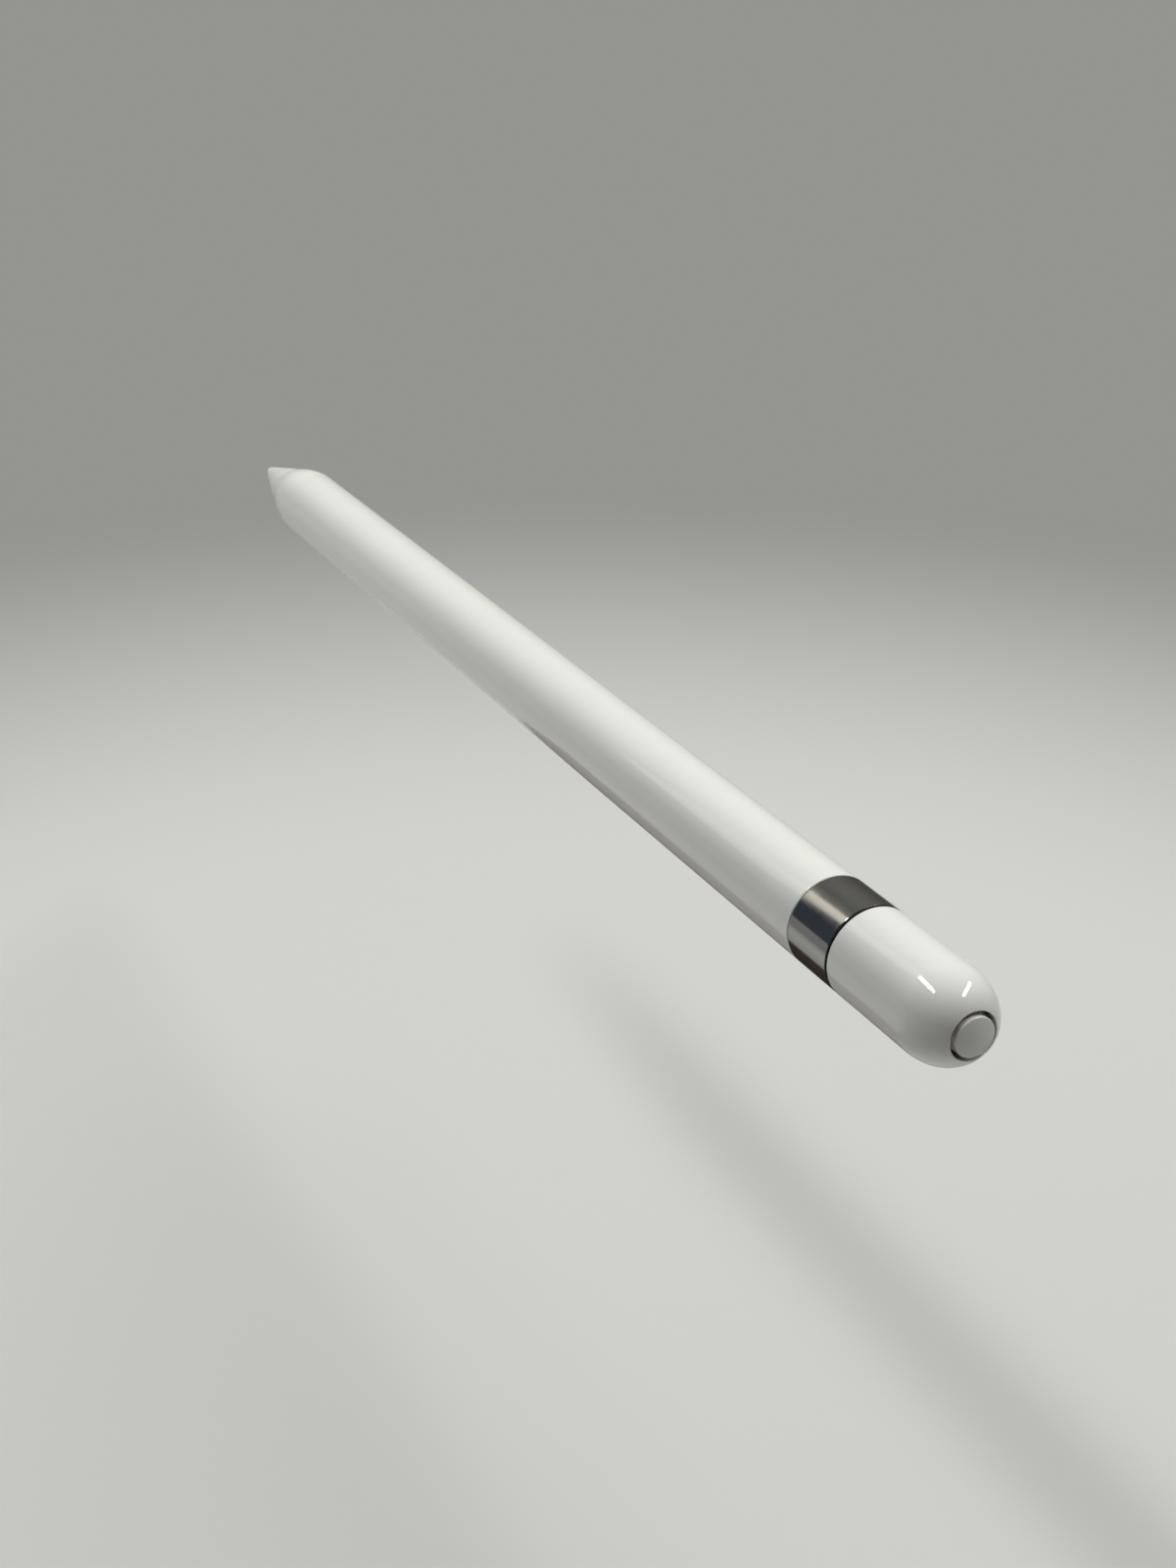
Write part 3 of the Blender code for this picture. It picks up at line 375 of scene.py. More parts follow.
def thread_run(start, end, radius):
    """Corners along a wall from start towards end, close enough together to take the thread."""
    step = math.copysign(thread_step, end - start)
    return [(start + i * step, radius, 0) for i in range(1, int((end - start) / step))]


def threaded(name, points, finish, span, radius, depth):
    """A turned piece with a thread in its wall of this radius, over a span of stations."""
    values = {"From": span[0], "To": span[1], "Pitch": thread_pitch, "Depth": depth}
    values |= {"Inner": radius - press_gap, "Outer": radius + press_gap, "Height": axis_height}
    blank = turned(name + "_blank", points, finish, sides=small_sides)
    return thread_tree.remake(name, blank, finish, **values)


thread_tree = thread_shape()
stem_corners = [
    (stem_low.x, 0, 0),
    (stem_low.x, pin_radius, pin_round),
    (thread_front, pin_radius, 0),
    (thread_front, thread_radius - thread_depth, 0),
    *thread_run(thread_front, collar_front, thread_radius),
    (collar_front, thread_radius, 0),
    (collar_front, collar_radius, collar_round),
    (collar_rear, collar_radius, collar_round),
    (collar_rear, shaft_radius, 0),
    (clip_low.x - press_gap, shaft_radius, 0),
    (clip_low.x - press_gap, groove_radius, 0),
    (clip_high.x + press_gap, groove_radius, 0),
    (clip_high.x + press_gap, shaft_radius, 0),
    (stem_shoulder, shaft_radius, shaft_round),
    (stem_shoulder, spigot_radius, 0),
    (stem_high.x, spigot_radius, spigot_round),
    (stem_high.x, 0, 0),
]
stem_points = rounded(stem_corners, closed=False)
stem_span = (thread_front, collar_front)
pressure_stem = threaded("pressure_stem", stem_points, nickel, stem_span, thread_radius, thread_depth)
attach(pressure_stem, "stem")
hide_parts("tip_stem")


# Nose fittings: circlip and dished spring of plain steel, a moulded bush that guides the stem, the brass
# tilt electrode round it, and the ceramic force sensor in its moulded holder. All go in from the rear.
def dress(finish, *nodes):
    """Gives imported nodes, whose shape stays, their finish."""
    for node in nodes:
        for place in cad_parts[node].material_slots:
            place.material = finish.material


def resin(name, colour, roughness):
    """Moulded filled resin: pale flecks of filler and a fine moulded grain."""
    finish = Finish(name, {})
    flecks = finish.ramp(finish.noise(along=9000, across=18000), low=0.6, high=0.7)
    fleck_colour = tuple(part * 0.8 + 0.05 for part in colour)
    grain = finish.noise(along=6000, across=6000, detail=3)
    return finish.set(
        Base_Color=finish.mix(flecks, colour, fleck_colour),
        Roughness=roughness + grain.swing(0.2),
        Normal=finish.bump(grain, depth=0.004 * MM),
    )


def ceramic_body(name, colour):
    """Fired ceramic: sparse dark specks in an off-white body."""
    finish = Finish(name, {})
    specks = finish.ramp(finish.noise(along=7000, across=7000, detail=3), low=0.66, high=0.72)
    colour = finish.mix(specks, colour, shade(colour, 0.6))
    return finish.set(Base_Color=colour, Roughness=0.4 + specks * 0.2)


plain_steel = metal("plain_steel", colour=(0.5, 0.5, 0.5), roughness=0.34)
brass = metal("brass", colour=(0.72, 0.53, 0.24), roughness=0.28)
grey_resin = resin("grey_resin", colour=(0.35, 0.35, 0.36), roughness=0.5)
sensor_ceramic = ceramic_body("sensor_ceramic", colour=(0.75, 0.73, 0.68))
dress(plain_steel, "stem_circlip", "stem_spring")
dress(grey_resin, "nose_bush", "sensor_holder")
dress(brass, "tilt_ring")
dress(sensor_ceramic, "force_sensor")


# Chassis and balance weight: a pressed steel trough the length of the electronics, and a steel bar laid in
# the bottom of it. The trough slides into the barrel with everything that it carries.
pressed_steel = metal("pressed_steel", (0.5, 0.5, 0.5), roughness=0.38, along=60, across=4000)
dress(pressed_steel, "chassis", "balance_weight")


# Boards: two glass-fibre boards with dark solder mask over copper tracks, their connectors, and the chips
# that are soldered to them. The boards rest in the chassis and a folded ribbon joins them.
def masked_board(name, colour, track):
    """Dark solder mask, a little raised and lighter over the tracks that run along the board."""
    finish = Finish(name, {"Specular IOR Level": 0.5})
    tracks = finish.ramp(finish.noise(along=160, across=2600, detail=0), low=0.54, high=0.57)
    grain = finish.noise(along=9000, across=9000)
    return finish.set(
        Base_Color=finish.mix(tracks, colour, track),
        Roughness=0.42 + grain.swing(0.2),
        Normal=finish.bump(tracks, depth=0.02 * MM),
    )


solder_mask = masked_board("solder_mask", colour=(0.02, 0.045, 0.035), track=(0.04, 0.09, 0.06))
chip_resin = resin("chip_resin", colour=(0.03, 0.03, 0.032), roughness=0.55)
can_lid = metal("can_lid", (0.66, 0.63, 0.57), roughness=0.3, along=4000, across=4000)
coil_ferrite = resin("coil_ferrite", colour=(0.16, 0.15, 0.15), roughness=0.6)
dress(solder_mask, "main_board", "upper_board", "cell_board")
dress(chip_resin, "power_chip", "memory_chip", "processor_chip", "charge_chip", "motion_sensor")
dress(chip_resin, "front_board_connector", "rear_board_connector")
dress(can_lid, "radio_chip", "clock_crystal")
dress(coil_ferrite, "boost_coil")


# Ribbons and antenna: copper tracks laminated in amber film. The antenna strip lies against the top of the
# bore, fed by a sprung brass clip, and the ribbons join the sensor, boards, cell and plug.
def track_film(name, film, copper, pitch):
    """Amber film with copper tracks showing through it along the ribbon."""
    finish = Finish(name, {"Coat Weight": 0.2, "Coat Roughness": 0.2})
    across = finish.parts(finish.place)[1]
    wave = (across / pitch).math("PINGPONG", 0.5) * 2
    tracks = finish.ramp(wave, low=0.45, high=0.55)
    weave = finish.noise(along=3000, across=3000)
    return finish.set(
        Base_Color=finish.mix(tracks, film, copper),
        Roughness=0.4 + weave.swing(0.15),
        Normal=finish.bump(tracks, depth=0.01 * MM),
    )


track_pitch = 0.3 * MM
amber_film = track_film("amber_film", (0.42, 0.19, 0.04), copper=(0.5, 0.22, 0.07), pitch=track_pitch)
dress(amber_film, "antenna", "sensor_ribbon", "fold_ribbon", "cell_ribbon", "charge_ribbon")
dress(brass, "antenna_clip")


# Cell: a drawn aluminium can with nickel tabs welded to its front and a foam pad behind it that takes up
# the length left in the barrel.
def foam(name, colour):
    """Cut foam: open cells, painted darker where they sink, as painted shade in their hollows."""
    finish = Finish(name, {})
    cells = finish.add("ShaderNodeTexVoronoi", inputs={"Vector": finish.place, "Scale": 5000.0})
    # Painted shade: each cell's colour darkens towards its sunken edge.
    return finish.set(
        Base_Color=finish.mix(cells, shade(colour, 1.3), shade(colour, 0.5)),
        Roughness=0.9 - cells * 0.1,
        Normal=finish.bump(cells, depth=-0.08 * MM),
    )


drawn_aluminium = metal("drawn_aluminium", (0.7, 0.71, 0.72), roughness=0.36, along=50, across=3000)
pad_foam = foam("pad_foam", colour=(0.16, 0.16, 0.17))
dress(drawn_aluminium, "cell")
dress(nickel, "cell_tab_positive", "cell_tab_negative")
dress(pad_foam, "cell_pad")


# Rear holder and pivot pin: a moulded plug in the rear of the barrel, slotted for the charging plug's tail,
# with a ground steel pin across it.
dress(grey_resin, "rear_holder")
dress(plain_steel, "pivot_pin")


# Barrel: one white tube of glossy moulded plastic that tapers at the front, over a straight cone with a
# soft shoulder. The nose fittings stop against the step behind its mouth.
outer_sides = 192
body_radius = (barrel_high.z - barrel_low.z) / 2
nose_angle = math.radians(13.5)
nose_blend = 2.0 * MM
nose_steps = 24
tip_radius = 0.75 * MM
barrel_wall = 0.75 * MM
mouth_gap = 0.2 * MM
edge_round = 0.14 * MM
nose_slope = math.tan(nose_angle)
nib_low, nib_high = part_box("nib_shell")
neck_low, neck_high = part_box("neck_sleeve")
bush_low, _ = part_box("nose_bush")
cone_start = nib_low.x + tip_radius * (1 - math.sin(nose_angle))
cone_start_radius = tip_radius * math.cos(nose_angle)
cone_end = cone_start + (body_radius - cone_start_radius) / nose_slope
blend_start, blend_end = cone_end - nose_blend, cone_end + nose_blend
mouth_radius = collar_radius + mouth_gap
mouth_end = bush_low.x - seat_gap
neck_radius = (neck_high.z - neck_low.z) / 2
band_inner = neck_radius + seat_gap
counterbore = neck_low.x - seat_gap


def nose_radius(station):
    """Outside radius of the barrel and the nib behind its round tip."""
    if station >= blend_end:
        return body_radius
    if station > blend_start:
        return body_radius - nose_slope * (blend_end - station) ** 2 / (4 * nose_blend)
    return cone_start_radius + nose_slope * (station - cone_start)


def white_plastic(name, colour, roughness):
    """Polished white plastic: an even colour, faint hairlines from handling and a barely uneven gloss."""
    finish = Finish(name, {"IOR": 1.5})
    patch = finish.noise(along=70, across=140)
    haze = finish.noise(along=300, across=600, detail=3)
    hairlines = finish.ramp(finish.noise(along=150, across=9000, detail=1), low=0.68, high=0.74)
    peel = finish.noise(along=300, across=300, detail=1)
    return finish.set(
        Base_Color=finish.mix(patch, shade(colour, 0.985), shade(colour, 1.01)),
        Roughness=roughness + haze.swing(0.03) + hairlines * 0.02,
        Normal=finish.bump(peel, depth=0.0006 * MM),
    )


white = (0.838, 0.845, 0.785)
polish = 0.035
gloss_white = white_plastic("gloss_white", white, roughness=polish)
blend_stations = spaced(blend_start, blend_end, nose_steps)
barrel_corners = [
    (barrel_low.x, mouth_radius, edge_round / 2),
    (barrel_low.x, nose_radius(barrel_low.x), edge_round),
    *((station, nose_radius(station), 0) for station in blend_stations),
    (barrel_high.x, body_radius, edge_round),
    (barrel_high.x, band_inner, 0),
    (counterbore, band_inner, 0),
    (counterbore, body_radius - barrel_wall, 0),
    *((station, nose_radius(station) - barrel_wall, 0) for station in reversed(blend_stations)),
    (mouth_end, nose_radius(mouth_end) - barrel_wall, 0),
    (mouth_end, mouth_radius, 0),
]
white_barrel = turned("white_barrel", rounded(barrel_corners), gloss_white, outer_sides)
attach(white_barrel, "barrel")
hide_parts("barrel_tube")


# Nib: a white moulded tip, a little less glossy than the barrel, drilled from behind for the stem's contact
# pin. A threaded brass insert pressed into it screws on to the stem.
nib_recess = 0.7 * MM
tip_steps = 16
insert_radius, insert_round = (insert_high.z - insert_low.z) / 2, 0.1 * MM
thread_gap = 0.08 * MM
insert_bore = thread_radius + thread_gap
pin_bore = pin_radius + seat_gap
pin_bore_end = stem_low.x - seat_gap
recess_floor = nib_high.x - nib_recess
satin_white = white_plastic("satin_white", shade(white, 0.99), roughness=0.2)
tip_corners = [
    (nib_low.x + tip_radius * (1 - math.sin(angle)), tip_radius * math.cos(angle), 0)
    for angle in spaced(math.pi / 2, nose_angle, tip_steps)
]
nib_corners = [
    *tip_corners,
    (nib_high.x, nose_radius(nib_high.x), edge_round),
    (nib_high.x, mouth_radius, edge_round / 2),
    (recess_floor, mouth_radius, 0),
    (recess_floor, insert_radius + press_gap, 0),
    (insert_low.x - seat_gap, insert_radius + press_gap, 0),
    (insert_low.x - seat_gap, pin_bore, 0),
    (pin_bore_end, pin_bore, 0),
    (pin_bore_end, 0, 0),
]
white_nib = turned("white_nib", rounded(nib_corners, closed=False), satin_white)
insert_corners = [
    (insert_low.x, insert_bore, 0),
    (insert_low.x, insert_radius, insert_round),
    (insert_high.x, insert_radius, insert_round),
    (insert_high.x, insert_bore, 0),
    *thread_run(insert_high.x, insert_low.x, insert_bore),
]
insert_points = rounded(insert_corners)
insert_span = (insert_low.x, insert_high.x)
threaded_insert = threaded("threaded_insert", insert_points, brass, insert_span, insert_bore, -thread_depth)
nib_pieces = [(white_nib, "nib_shell", "white_satin"), (threaded_insert, "nib_insert", "brass")]
for piece, node, slot in nib_pieces:
    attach(piece, "nib")
    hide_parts(node)


# Neck and band: a steel sleeve pressed over the rear holder, which the cap's magnets pull on, and a
# polished steel band glued round it against the end of the barrel. The band is left bare, and its edge by
# the cap is painted near black as shade in the seam.
band_low, band_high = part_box("band")
neck_wall = 0.4 * MM
band_edge = 0.06 * MM
# Painted shade: the band's edge next to the cap is painted near black, so that the seam between band and
# cap reads dark.
seam_shade_colour = (0.08, 0.08, 0.08)
band_tint = (0.35, 0.35, 0.35, 1)
band_steel = metal("band_steel", (0.46, 0.455, 0.445), roughness=0.1, along=7000, across=40)
band_station = band_steel.parts(band_steel.place)[0]
seam_shade = band_steel.ramp(band_station, band_high.x - band_edge, band_high.x - band_edge / 2)
band_colour = band_steel.mix(seam_shade, band_steel.base(), seam_shade_colour)
band_steel.set(Base_Color=band_colour, Specular_Tint=band_tint)
band_corners = [
    (band_low.x, body_radius, band_edge),
    (band_high.x, body_radius, band_edge),
    (band_high.x, band_inner, 0),
    (band_low.x, band_inner, 0),
]
steel_band = turned("steel_band", rounded(band_corners), band_steel, outer_sides)
neck_corners = [
    (neck_low.x, neck_radius, 0),
    (neck_high.x, neck_radius, edge_round),
    (neck_high.x, neck_radius - neck_wall, edge_round),
    (neck_low.x, neck_radius - neck_wall, 0),
]
steel_neck = turned("steel_neck", rounded(neck_corners), plain_steel)
neck_pieces = [(steel_band, "band", "polished_steel"), (steel_neck, "neck_sleeve", "plain_steel")]
for piece, node, slot in neck_pieces:
    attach(piece, "barrel")
    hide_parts(node)


# Charging plug: a flat steel blade with rounded edges set in a resin boot, and eight gold-plated contacts
# on each face, held in a moulded insulator. The boot's tail turns a little on the pivot pin.
boot_low, boot_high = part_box("plug_boot")
blade_low, blade_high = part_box("plug_blade")
pin_low, pin_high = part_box("pivot_pin")
boot_radius = (boot_high.y - boot_low.y) / 2
boot_length = 3.05 * MM
boot_front = boot_high.x - boot_length
boot_edge = 0.3 * MM
tail_width, tail_height = 3.8 * MM, 2.6 * MM
tang_width, tang_length = 4.0 * MM, 2.4 * MM
blade_half_width = (blade_high.y - blade_low.y) / 2
blade_half = (blade_high.z - blade_low.z) / 2
blade_edge = 0.6 * MM
blade_corner = 1.3 * MM
corner_steps = 10
rim_steps = 6
eye_steps = 32
pocket_depth = 0.3 * MM
contact_count = 8
contact_pitch = 0.56 * MM
contact_width = 0.34 * MM
contact_spine = 0.4 * MM
contact_edge = 0.05 * MM
contact_gap = 0.02 * MM
insulator_sink = 0.1 * MM


def soften(piece):
    """Smooth faces on a finished mesh, with its steep edges sharp."""
    mesh = piece.data
    mesh.polygons.foreach_set("use_smooth", [True] * len(mesh.polygons))
    mesh.set_sharp_from_angle(angle=SHARP)
    return piece


def tube(name, rings, finish):
    """A closed piece through rings of points, with flat ends."""
    size = len(rings[0])
    last = size * (len(rings) - 1)
    faces = [
        (ring + i, ring + (i + 1) % size, ring + size + (i + 1) % size, ring + size + i)
        for ring in range(0, last, size)
        for i in range(size)
    ]
    faces += [tuple(range(size)), tuple(range(last, last + size))]
    mesh = bpy.data.meshes.new(name)
    mesh.from_pydata([point for ring in rings for point in ring], [], faces)
    mesh.materials.append(finish.material)
    return soften(face_outwards(in_scene(name, mesh)))


def block(name, low, high, finish):
    """A box between two corners."""
    plan = [(low[0], low[1]), (high[0], low[1]), (high[0], high[1]), (low[0], high[1])]
    return tube(name, [[(x, y, z) for x, y in plan] for z in (low[2], high[2])], finish)


def carve(piece, tool, operation="DIFFERENCE"):
    """Cuts a piece with a tool, or joins them, and uses the tool up."""
    cut = piece.modifiers.new("carve", "BOOLEAN")
    cut.object = tool
    cut.operation = operation
    cut.solver = "EXACT"
    settle(piece)
    bpy.data.objects.remove(tool)
    return soften(piece)


def ease(piece, radius, segments=3):
    """Rounds every steep edge of a piece."""
    bevel = piece.modifiers.new("ease", "BEVEL")
    bevel.width = radius
    bevel.segments = segments
    bevel.limit_method = "ANGLE"
    bevel.angle_limit = SHARP
    return soften(settle(piece))


boot_corners = [
    (boot_front, 0, 0),
    (boot_front, boot_radius, boot_edge),
    (boot_high.x, boot_radius, boot_edge),
    (boot_high.x, 0, 0),
]
boot_resin = resin("boot_resin", colour=(0.35, 0.35, 0.36), roughness=0.42)
plug_boot = turned("resin_boot", rounded(boot_corners, closed=False), boot_resin, small_sides)
tail_low = (boot_low.x, -tail_width / 2, axis_height - tail_height / 2)
tail_high = (boot_front + boot_length / 2, tail_width / 2, axis_height + tail_height / 2)
carve(plug_boot, block("boot_tail", tail_low, tail_high, boot_resin), "UNION")
tang_room = Vector((seat_gap, seat_gap, seat_gap))
tang_half = blade_half - contact_gap
tang_low = Vector((blade_low.x, -tang_width / 2, axis_height - tang_half))
tang_high = Vector((blade_low.x + tang_length + blade_edge, tang_width / 2, axis_height + tang_half))
carve(plug_boot, block("tang_hole", tang_low - tang_room, tang_high + tang_room, boot_resin))
pin_station = (pin_low.x + pin_high.x) / 2
eye_radius = (pin_high.x - pin_low.x) / 2 + press_gap
eye_circle = [
    (pin_station + eye_radius * math.cos(turn), axis_height + eye_radius * math.sin(turn))
    for turn in spaced(0, 2 * math.pi, eye_steps)[:-1]
]
eye_rings = [[(x, y, z) for x, z in eye_circle] for y in (-body_radius, body_radius)]
carve(plug_boot, tube("pin_eye", eye_rings, boot_resin))


def blade_rings():
    """Rings of the blade's outline from its lower face to its upper one, drawn in along the rounded rim."""
    shoulder = boot_high.x + seat_gap
    rims = [
        (blade_edge * (1 - math.cos(turn)), blade_half - blade_edge * (1 - math.sin(turn)), shoulder)
        for turn in spaced(0, math.pi / 2, rim_steps)
    ]
    rims.append((blade_edge + contact_edge, blade_half, shoulder + contact_edge))
    centre_x = blade_high.x - blade_corner
    centre_y = blade_half_width - blade_corner
    rings = []
    for inset, height, rear in [(inset, -height, rear) for inset, height, rear in reversed(rims)] + rims:
        radius = blade_corner - inset
        side = [(rear, blade_half_width - inset)]
        side += [
            (centre_x + radius * math.sin(turn), centre_y + radius * math.cos(turn))
            for turn in spaced(0, math.pi / 2, corner_steps)
        ]
        outline = side + [(x, -y) for x, y in reversed(side)]
        rings.append([(x, y, axis_height + height) for x, y in outline])
    return rings


blade_steel = metal("blade_steel", (0.55, 0.545, 0.53), roughness=0.22, along=60, across=5000)
plug_blade = tube("steel_blade", blade_rings(), blade_steel)
carve(plug_blade, block("tang", tang_low, tang_high, blade_steel), "UNION")


def row_shape():
    """The tree that repeats one piece along a row across the stylus."""
    tree = Shape("row", Count="Int", Start="Vector", Pitch="Vector")
    line = {"Count": tree["Count"], "Start Location": tree["Start"], "Offset": tree["Pitch"]}
    points = tree.add("GeometryNodeMeshLine", inputs=line)
    placed = {"Points": points, "Instance": tree["Geometry"]}
    tree.end(tree.add("GeometryNodeInstanceOnPoints", inputs=placed))
    return tree


row_tree = row_shape()
gold_plate = metal("gold_plate", (0.83, 0.63, 0.26), roughness=0.2, along=60, across=5000)
insulator_resin = resin("insulator_resin", colour=(0.05, 0.05, 0.052), roughness=0.45)
row_width = (contact_count - 1) * contact_pitch
contact_room = Vector((contact_gap, contact_gap, contact_gap))
pocket_room = Vector((seat_gap, seat_gap, 0))
slab_room = Vector((seat_gap - contact_gap, seat_gap - contact_gap))
for node in ("contacts_upper", "contacts_lower"):
    low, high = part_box(node)
    up = 1 if low.z > axis_height else -1
    face = axis_height + up * blade_half
    pocket_floor = face - up * pocket_depth
    pocket_low, pocket_high = sorted((pocket_floor, face + up * pocket_depth))
    opening = (Vector((*low.xy, pocket_low)) - pocket_room, Vector((*high.xy, pocket_high)) + pocket_room)
    carve(plug_blade, block("pocket", *opening, blade_steel))
    size = Vector(((high.x - low.x - contact_spine) / 2, contact_width / 2, (high.z - low.z) / 2))
    start = Vector((high.x - size.x, -row_width / 2, (low.z + high.z) / 2))
    row = {"Count": contact_count, "Start": start, "Pitch": Vector((0, contact_pitch, 0))}
    blank = ease(block("contact_blank", -size, size, gold_plate), contact_edge)
    contacts = row_tree.remake(node + "_row", blank, gold_plate, **row)
    hole = block("contact_hole", -size - contact_room, size + contact_room, insulator_resin)
    holes = row_tree.remake("contact_holes", hole, insulator_resin, **row)
    slab_low, slab_high = sorted((pocket_floor + up * contact_gap / 2, face - up * insulator_sink))
    slab = (*(low.xy - slab_room), slab_low), (*(high.xy + slab_room), slab_high)
    insulator = carve(block(node + "_insulator", *slab, insulator_resin), holes)
    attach(insulator, "plug")
    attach(contacts, "plug")
    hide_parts(node)
plug_pieces = [(plug_boot, "plug_boot", "grey_resin"), (plug_blade, "plug_blade", "polished_steel")]
for piece, node, slot in plug_pieces:
    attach(piece, "plug")
    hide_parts(node)


# Cap: a white glossy shell with a domed end, bored for the neck and the blade. Six magnets are glued in its
# mouth. A crowned disc in a ring groove closes its end, with two vents in the floor of the groove.
cap_low, cap_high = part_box("cap_shell")
disc_low, disc_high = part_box("cap_end_disc")
magnet_low, magnet_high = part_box("cap_magnet_1")
dome_length = 5.35 * MM
dome_power = 2.16
dome_steps = 48
dome_drop = 0.2 * MM
disc_radius = 1.85 * MM
disc_edge = 0.13 * MM
disc_crown = 0.28 * MM
disc_stand = 0.15 * MM
crown_steps = 6
groove_width = 0.38 * MM
groove_depth = 0.9 * MM
lip_round = 0.05 * MM
neck_gap = 0.15 * MM
blade_gap = 0.2 * MM
bore_radius = disc_radius + groove_width
pocket_radius = neck_radius + neck_gap
cavity_radius = blade_half_width + blade_gap
cavity_end = disc_low.x - seat_gap
pocket_end = magnet_high.x + seat_gap
dome_fall = 1 - (1 - (disc_radius / body_radius) ** dome_power) ** (1 / dome_power)
dome_crown = disc_high.x - dome_drop + dome_length * dome_fall


def dome_point(turn):
    """A point of the dome's outline: 0 is its crown, pi/2 the straight side."""
    radius = body_radius * math.sin(turn) ** (2 / dome_power)
    depth = dome_length * (1 - max(math.cos(turn), 0) ** (2 / dome_power))
    return dome_crown - depth, radius, 0


lip_turn = math.asin((bore_radius / body_radius) ** (dome_power / 2))
dome_turns = spaced(math.pi / 2, lip_turn, dome_steps)[:-1]
lip_station, lip_radius, _ = dome_point(lip_turn)
cap_corners = [
    (cap_low.x, pocket_radius, 0),
    (cap_low.x, body_radius, edge_round),
    *(dome_point(turn) for turn in dome_turns),
    (lip_station, lip_radius, lip_round),
    (cavity_end, bore_radius, 0),
    (cavity_end, cavity_radius, 0),
    (pocket_end, cavity_radius, 0),
    (pocket_end, pocket_radius, 0),
]
# Painted shade: a brown tint painted deep in the ring groove stands in for the groove's shade and a warm
# reflection in it.
groove_shade_colour = (0.7, 0.63, 0.57)
groove_shade_start, groove_shade_full = 0.35 * MM, 0.85 * MM
groove_shade_end = groove_depth + 0.1 * MM
groove_shade_rim, groove_shade_reach = bore_radius + 0.06 * MM, bore_radius + 0.12 * MM


def groove_shade(finish):
    """Darkens a white finish deep in the ring groove with a painted brown shade, for the groove's shade and
    a warm reflection.
    """
    station, across, up = finish.parts(finish.place)
    radius = finish.reach(across, up - axis_height)
    depth = disc_high.x - station
    deep = finish.ramp(depth, groove_shade_start, groove_shade_full) - finish.ramp(depth, groove_depth, groove_shade_end)
    near = 1 - finish.ramp(radius, groove_shade_rim, groove_shade_reach)
    return finish.set(Base_Color=finish.mix(deep * near, finish.base(), groove_shade_colour))


# Both white finishes of the cap take the painted shade in the groove.
cap_white = groove_shade(white_plastic("cap_white", white, roughness=polish))
disc_white = groove_shade(white_plastic("disc_white", shade(white, 0.97), roughness=0.22))
white_cap = turned("white_cap", rounded(cap_corners), cap_white, outer_sides)
crown_rim = disc_radius - disc_edge
disc_top = disc_high.x + disc_stand
edge_station = disc_top - disc_crown * (2 * disc_radius / crown_rim - 1)
disc_corners = [
    *((disc_top - disc_crown * share ** 2, crown_rim * share, 0) for share in spaced(0, 1, crown_steps)),
    (edge_station, disc_radius, disc_edge),
    (disc_high.x - groove_depth, disc_radius, 0),
    (disc_high.x - groove_depth, bore_radius - seat_gap, 0),
    (disc_low.x, bore_radius - seat_gap, 0),
    (disc_low.x, 0, 0),
]
end_disc = turned("end_disc", rounded(disc_corners, closed=False), disc_white)


def ring_shape():
    """The tree that repeats a piece, drawn with the axis at 0, at equal turns about the axis."""
    tree = Shape("ring", Count="Int", Centre="Vector")
    still = {"Count": tree["Count"], "Start Location": tree["Centre"], "Offset": (0, 0, 0)}
    points = tree.add("GeometryNodeMeshLine", inputs=still)
    angle = tree.add("GeometryNodeInputIndex") / tree["Count"] * 2 * math.pi
    about_axis = tree.add("ShaderNodeCombineXYZ", inputs=[angle])
    turn = tree.add("FunctionNodeEulerToRotation", inputs=[about_axis])
    placed = {"Points": points, "Instance": tree["Geometry"], "Rotation": turn}
    tree.end(tree.add("GeometryNodeInstanceOnPoints", inputs=placed))
    return tree


ring_tree = ring_shape()
axis_centre = Vector((0, 0, axis_height))
vent_count = 2
vent_width = 1.5 * MM
vent_turn = math.radians(45)
vent_low = (disc_low.x - groove_depth, -vent_width / 2, disc_radius + press_gap)
vent_high = (disc_high.x - groove_depth / 2, vent_width / 2, body_radius)
vent = block("vent", vent_low, vent_high, disc_white)
vent.data.transform(Matrix.Rotation(-vent_turn, 4, "X"))
carve(end_disc, ring_tree.remake("vents", vent, disc_white, Count=vent_count, Centre=axis_centre))
cap_pieces = [(white_cap, "cap_shell", "white_gloss"), (end_disc, "cap_end_disc", "white_satin")]
for piece, node, slot in cap_pieces:
    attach(piece, "cap")
    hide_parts(node)
magnet_count = 6
magnet_half_turn = math.radians(24)
magnet_steps = 12
magnet_edge = 0.06 * MM
magnet_radius = pocket_radius - press_gap
magnet_section = [
    (magnet_low.x, cavity_radius),
    (magnet_low.x, magnet_radius),
    (magnet_high.x, magnet_radius),
    (magnet_high.x, cavity_radius),
]
magnet_rings = [
    [(station, radius * math.sin(turn), radius * math.cos(turn)) for station, radius in magnet_section]
    for turn in spaced(-magnet_half_turn, magnet_half_turn, magnet_steps)
]
magnet = ease(tube("magnet", magnet_rings, nickel), magnet_edge)
magnet_ring = ring_tree.remake("magnet_ring", magnet, nickel, Count=magnet_count, Centre=axis_centre)
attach(magnet_ring, "cap")
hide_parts(*(f"cap_magnet_{i + 1}" for i in range(magnet_count)))


# Floor: a plain pale table top well below the stylus, which fades into the grey of the room. Darker mats
# of painted shade and painted reflection that only reflections meet, and a painted pale patch and a painted
# dark front that only bounced light meets, shape the light on the underside.
floor_drop = 75 * MM
floor_half = 6.0
floor_pale = (0.585, 0.59, 0.557)
floor_bounce = (0.27, 0.27, 0.26)
fade_start, fade_end = 0.11, 0.33
room_grey = (0.3, 0.298, 0.285)
mat_edge = 6 * MM
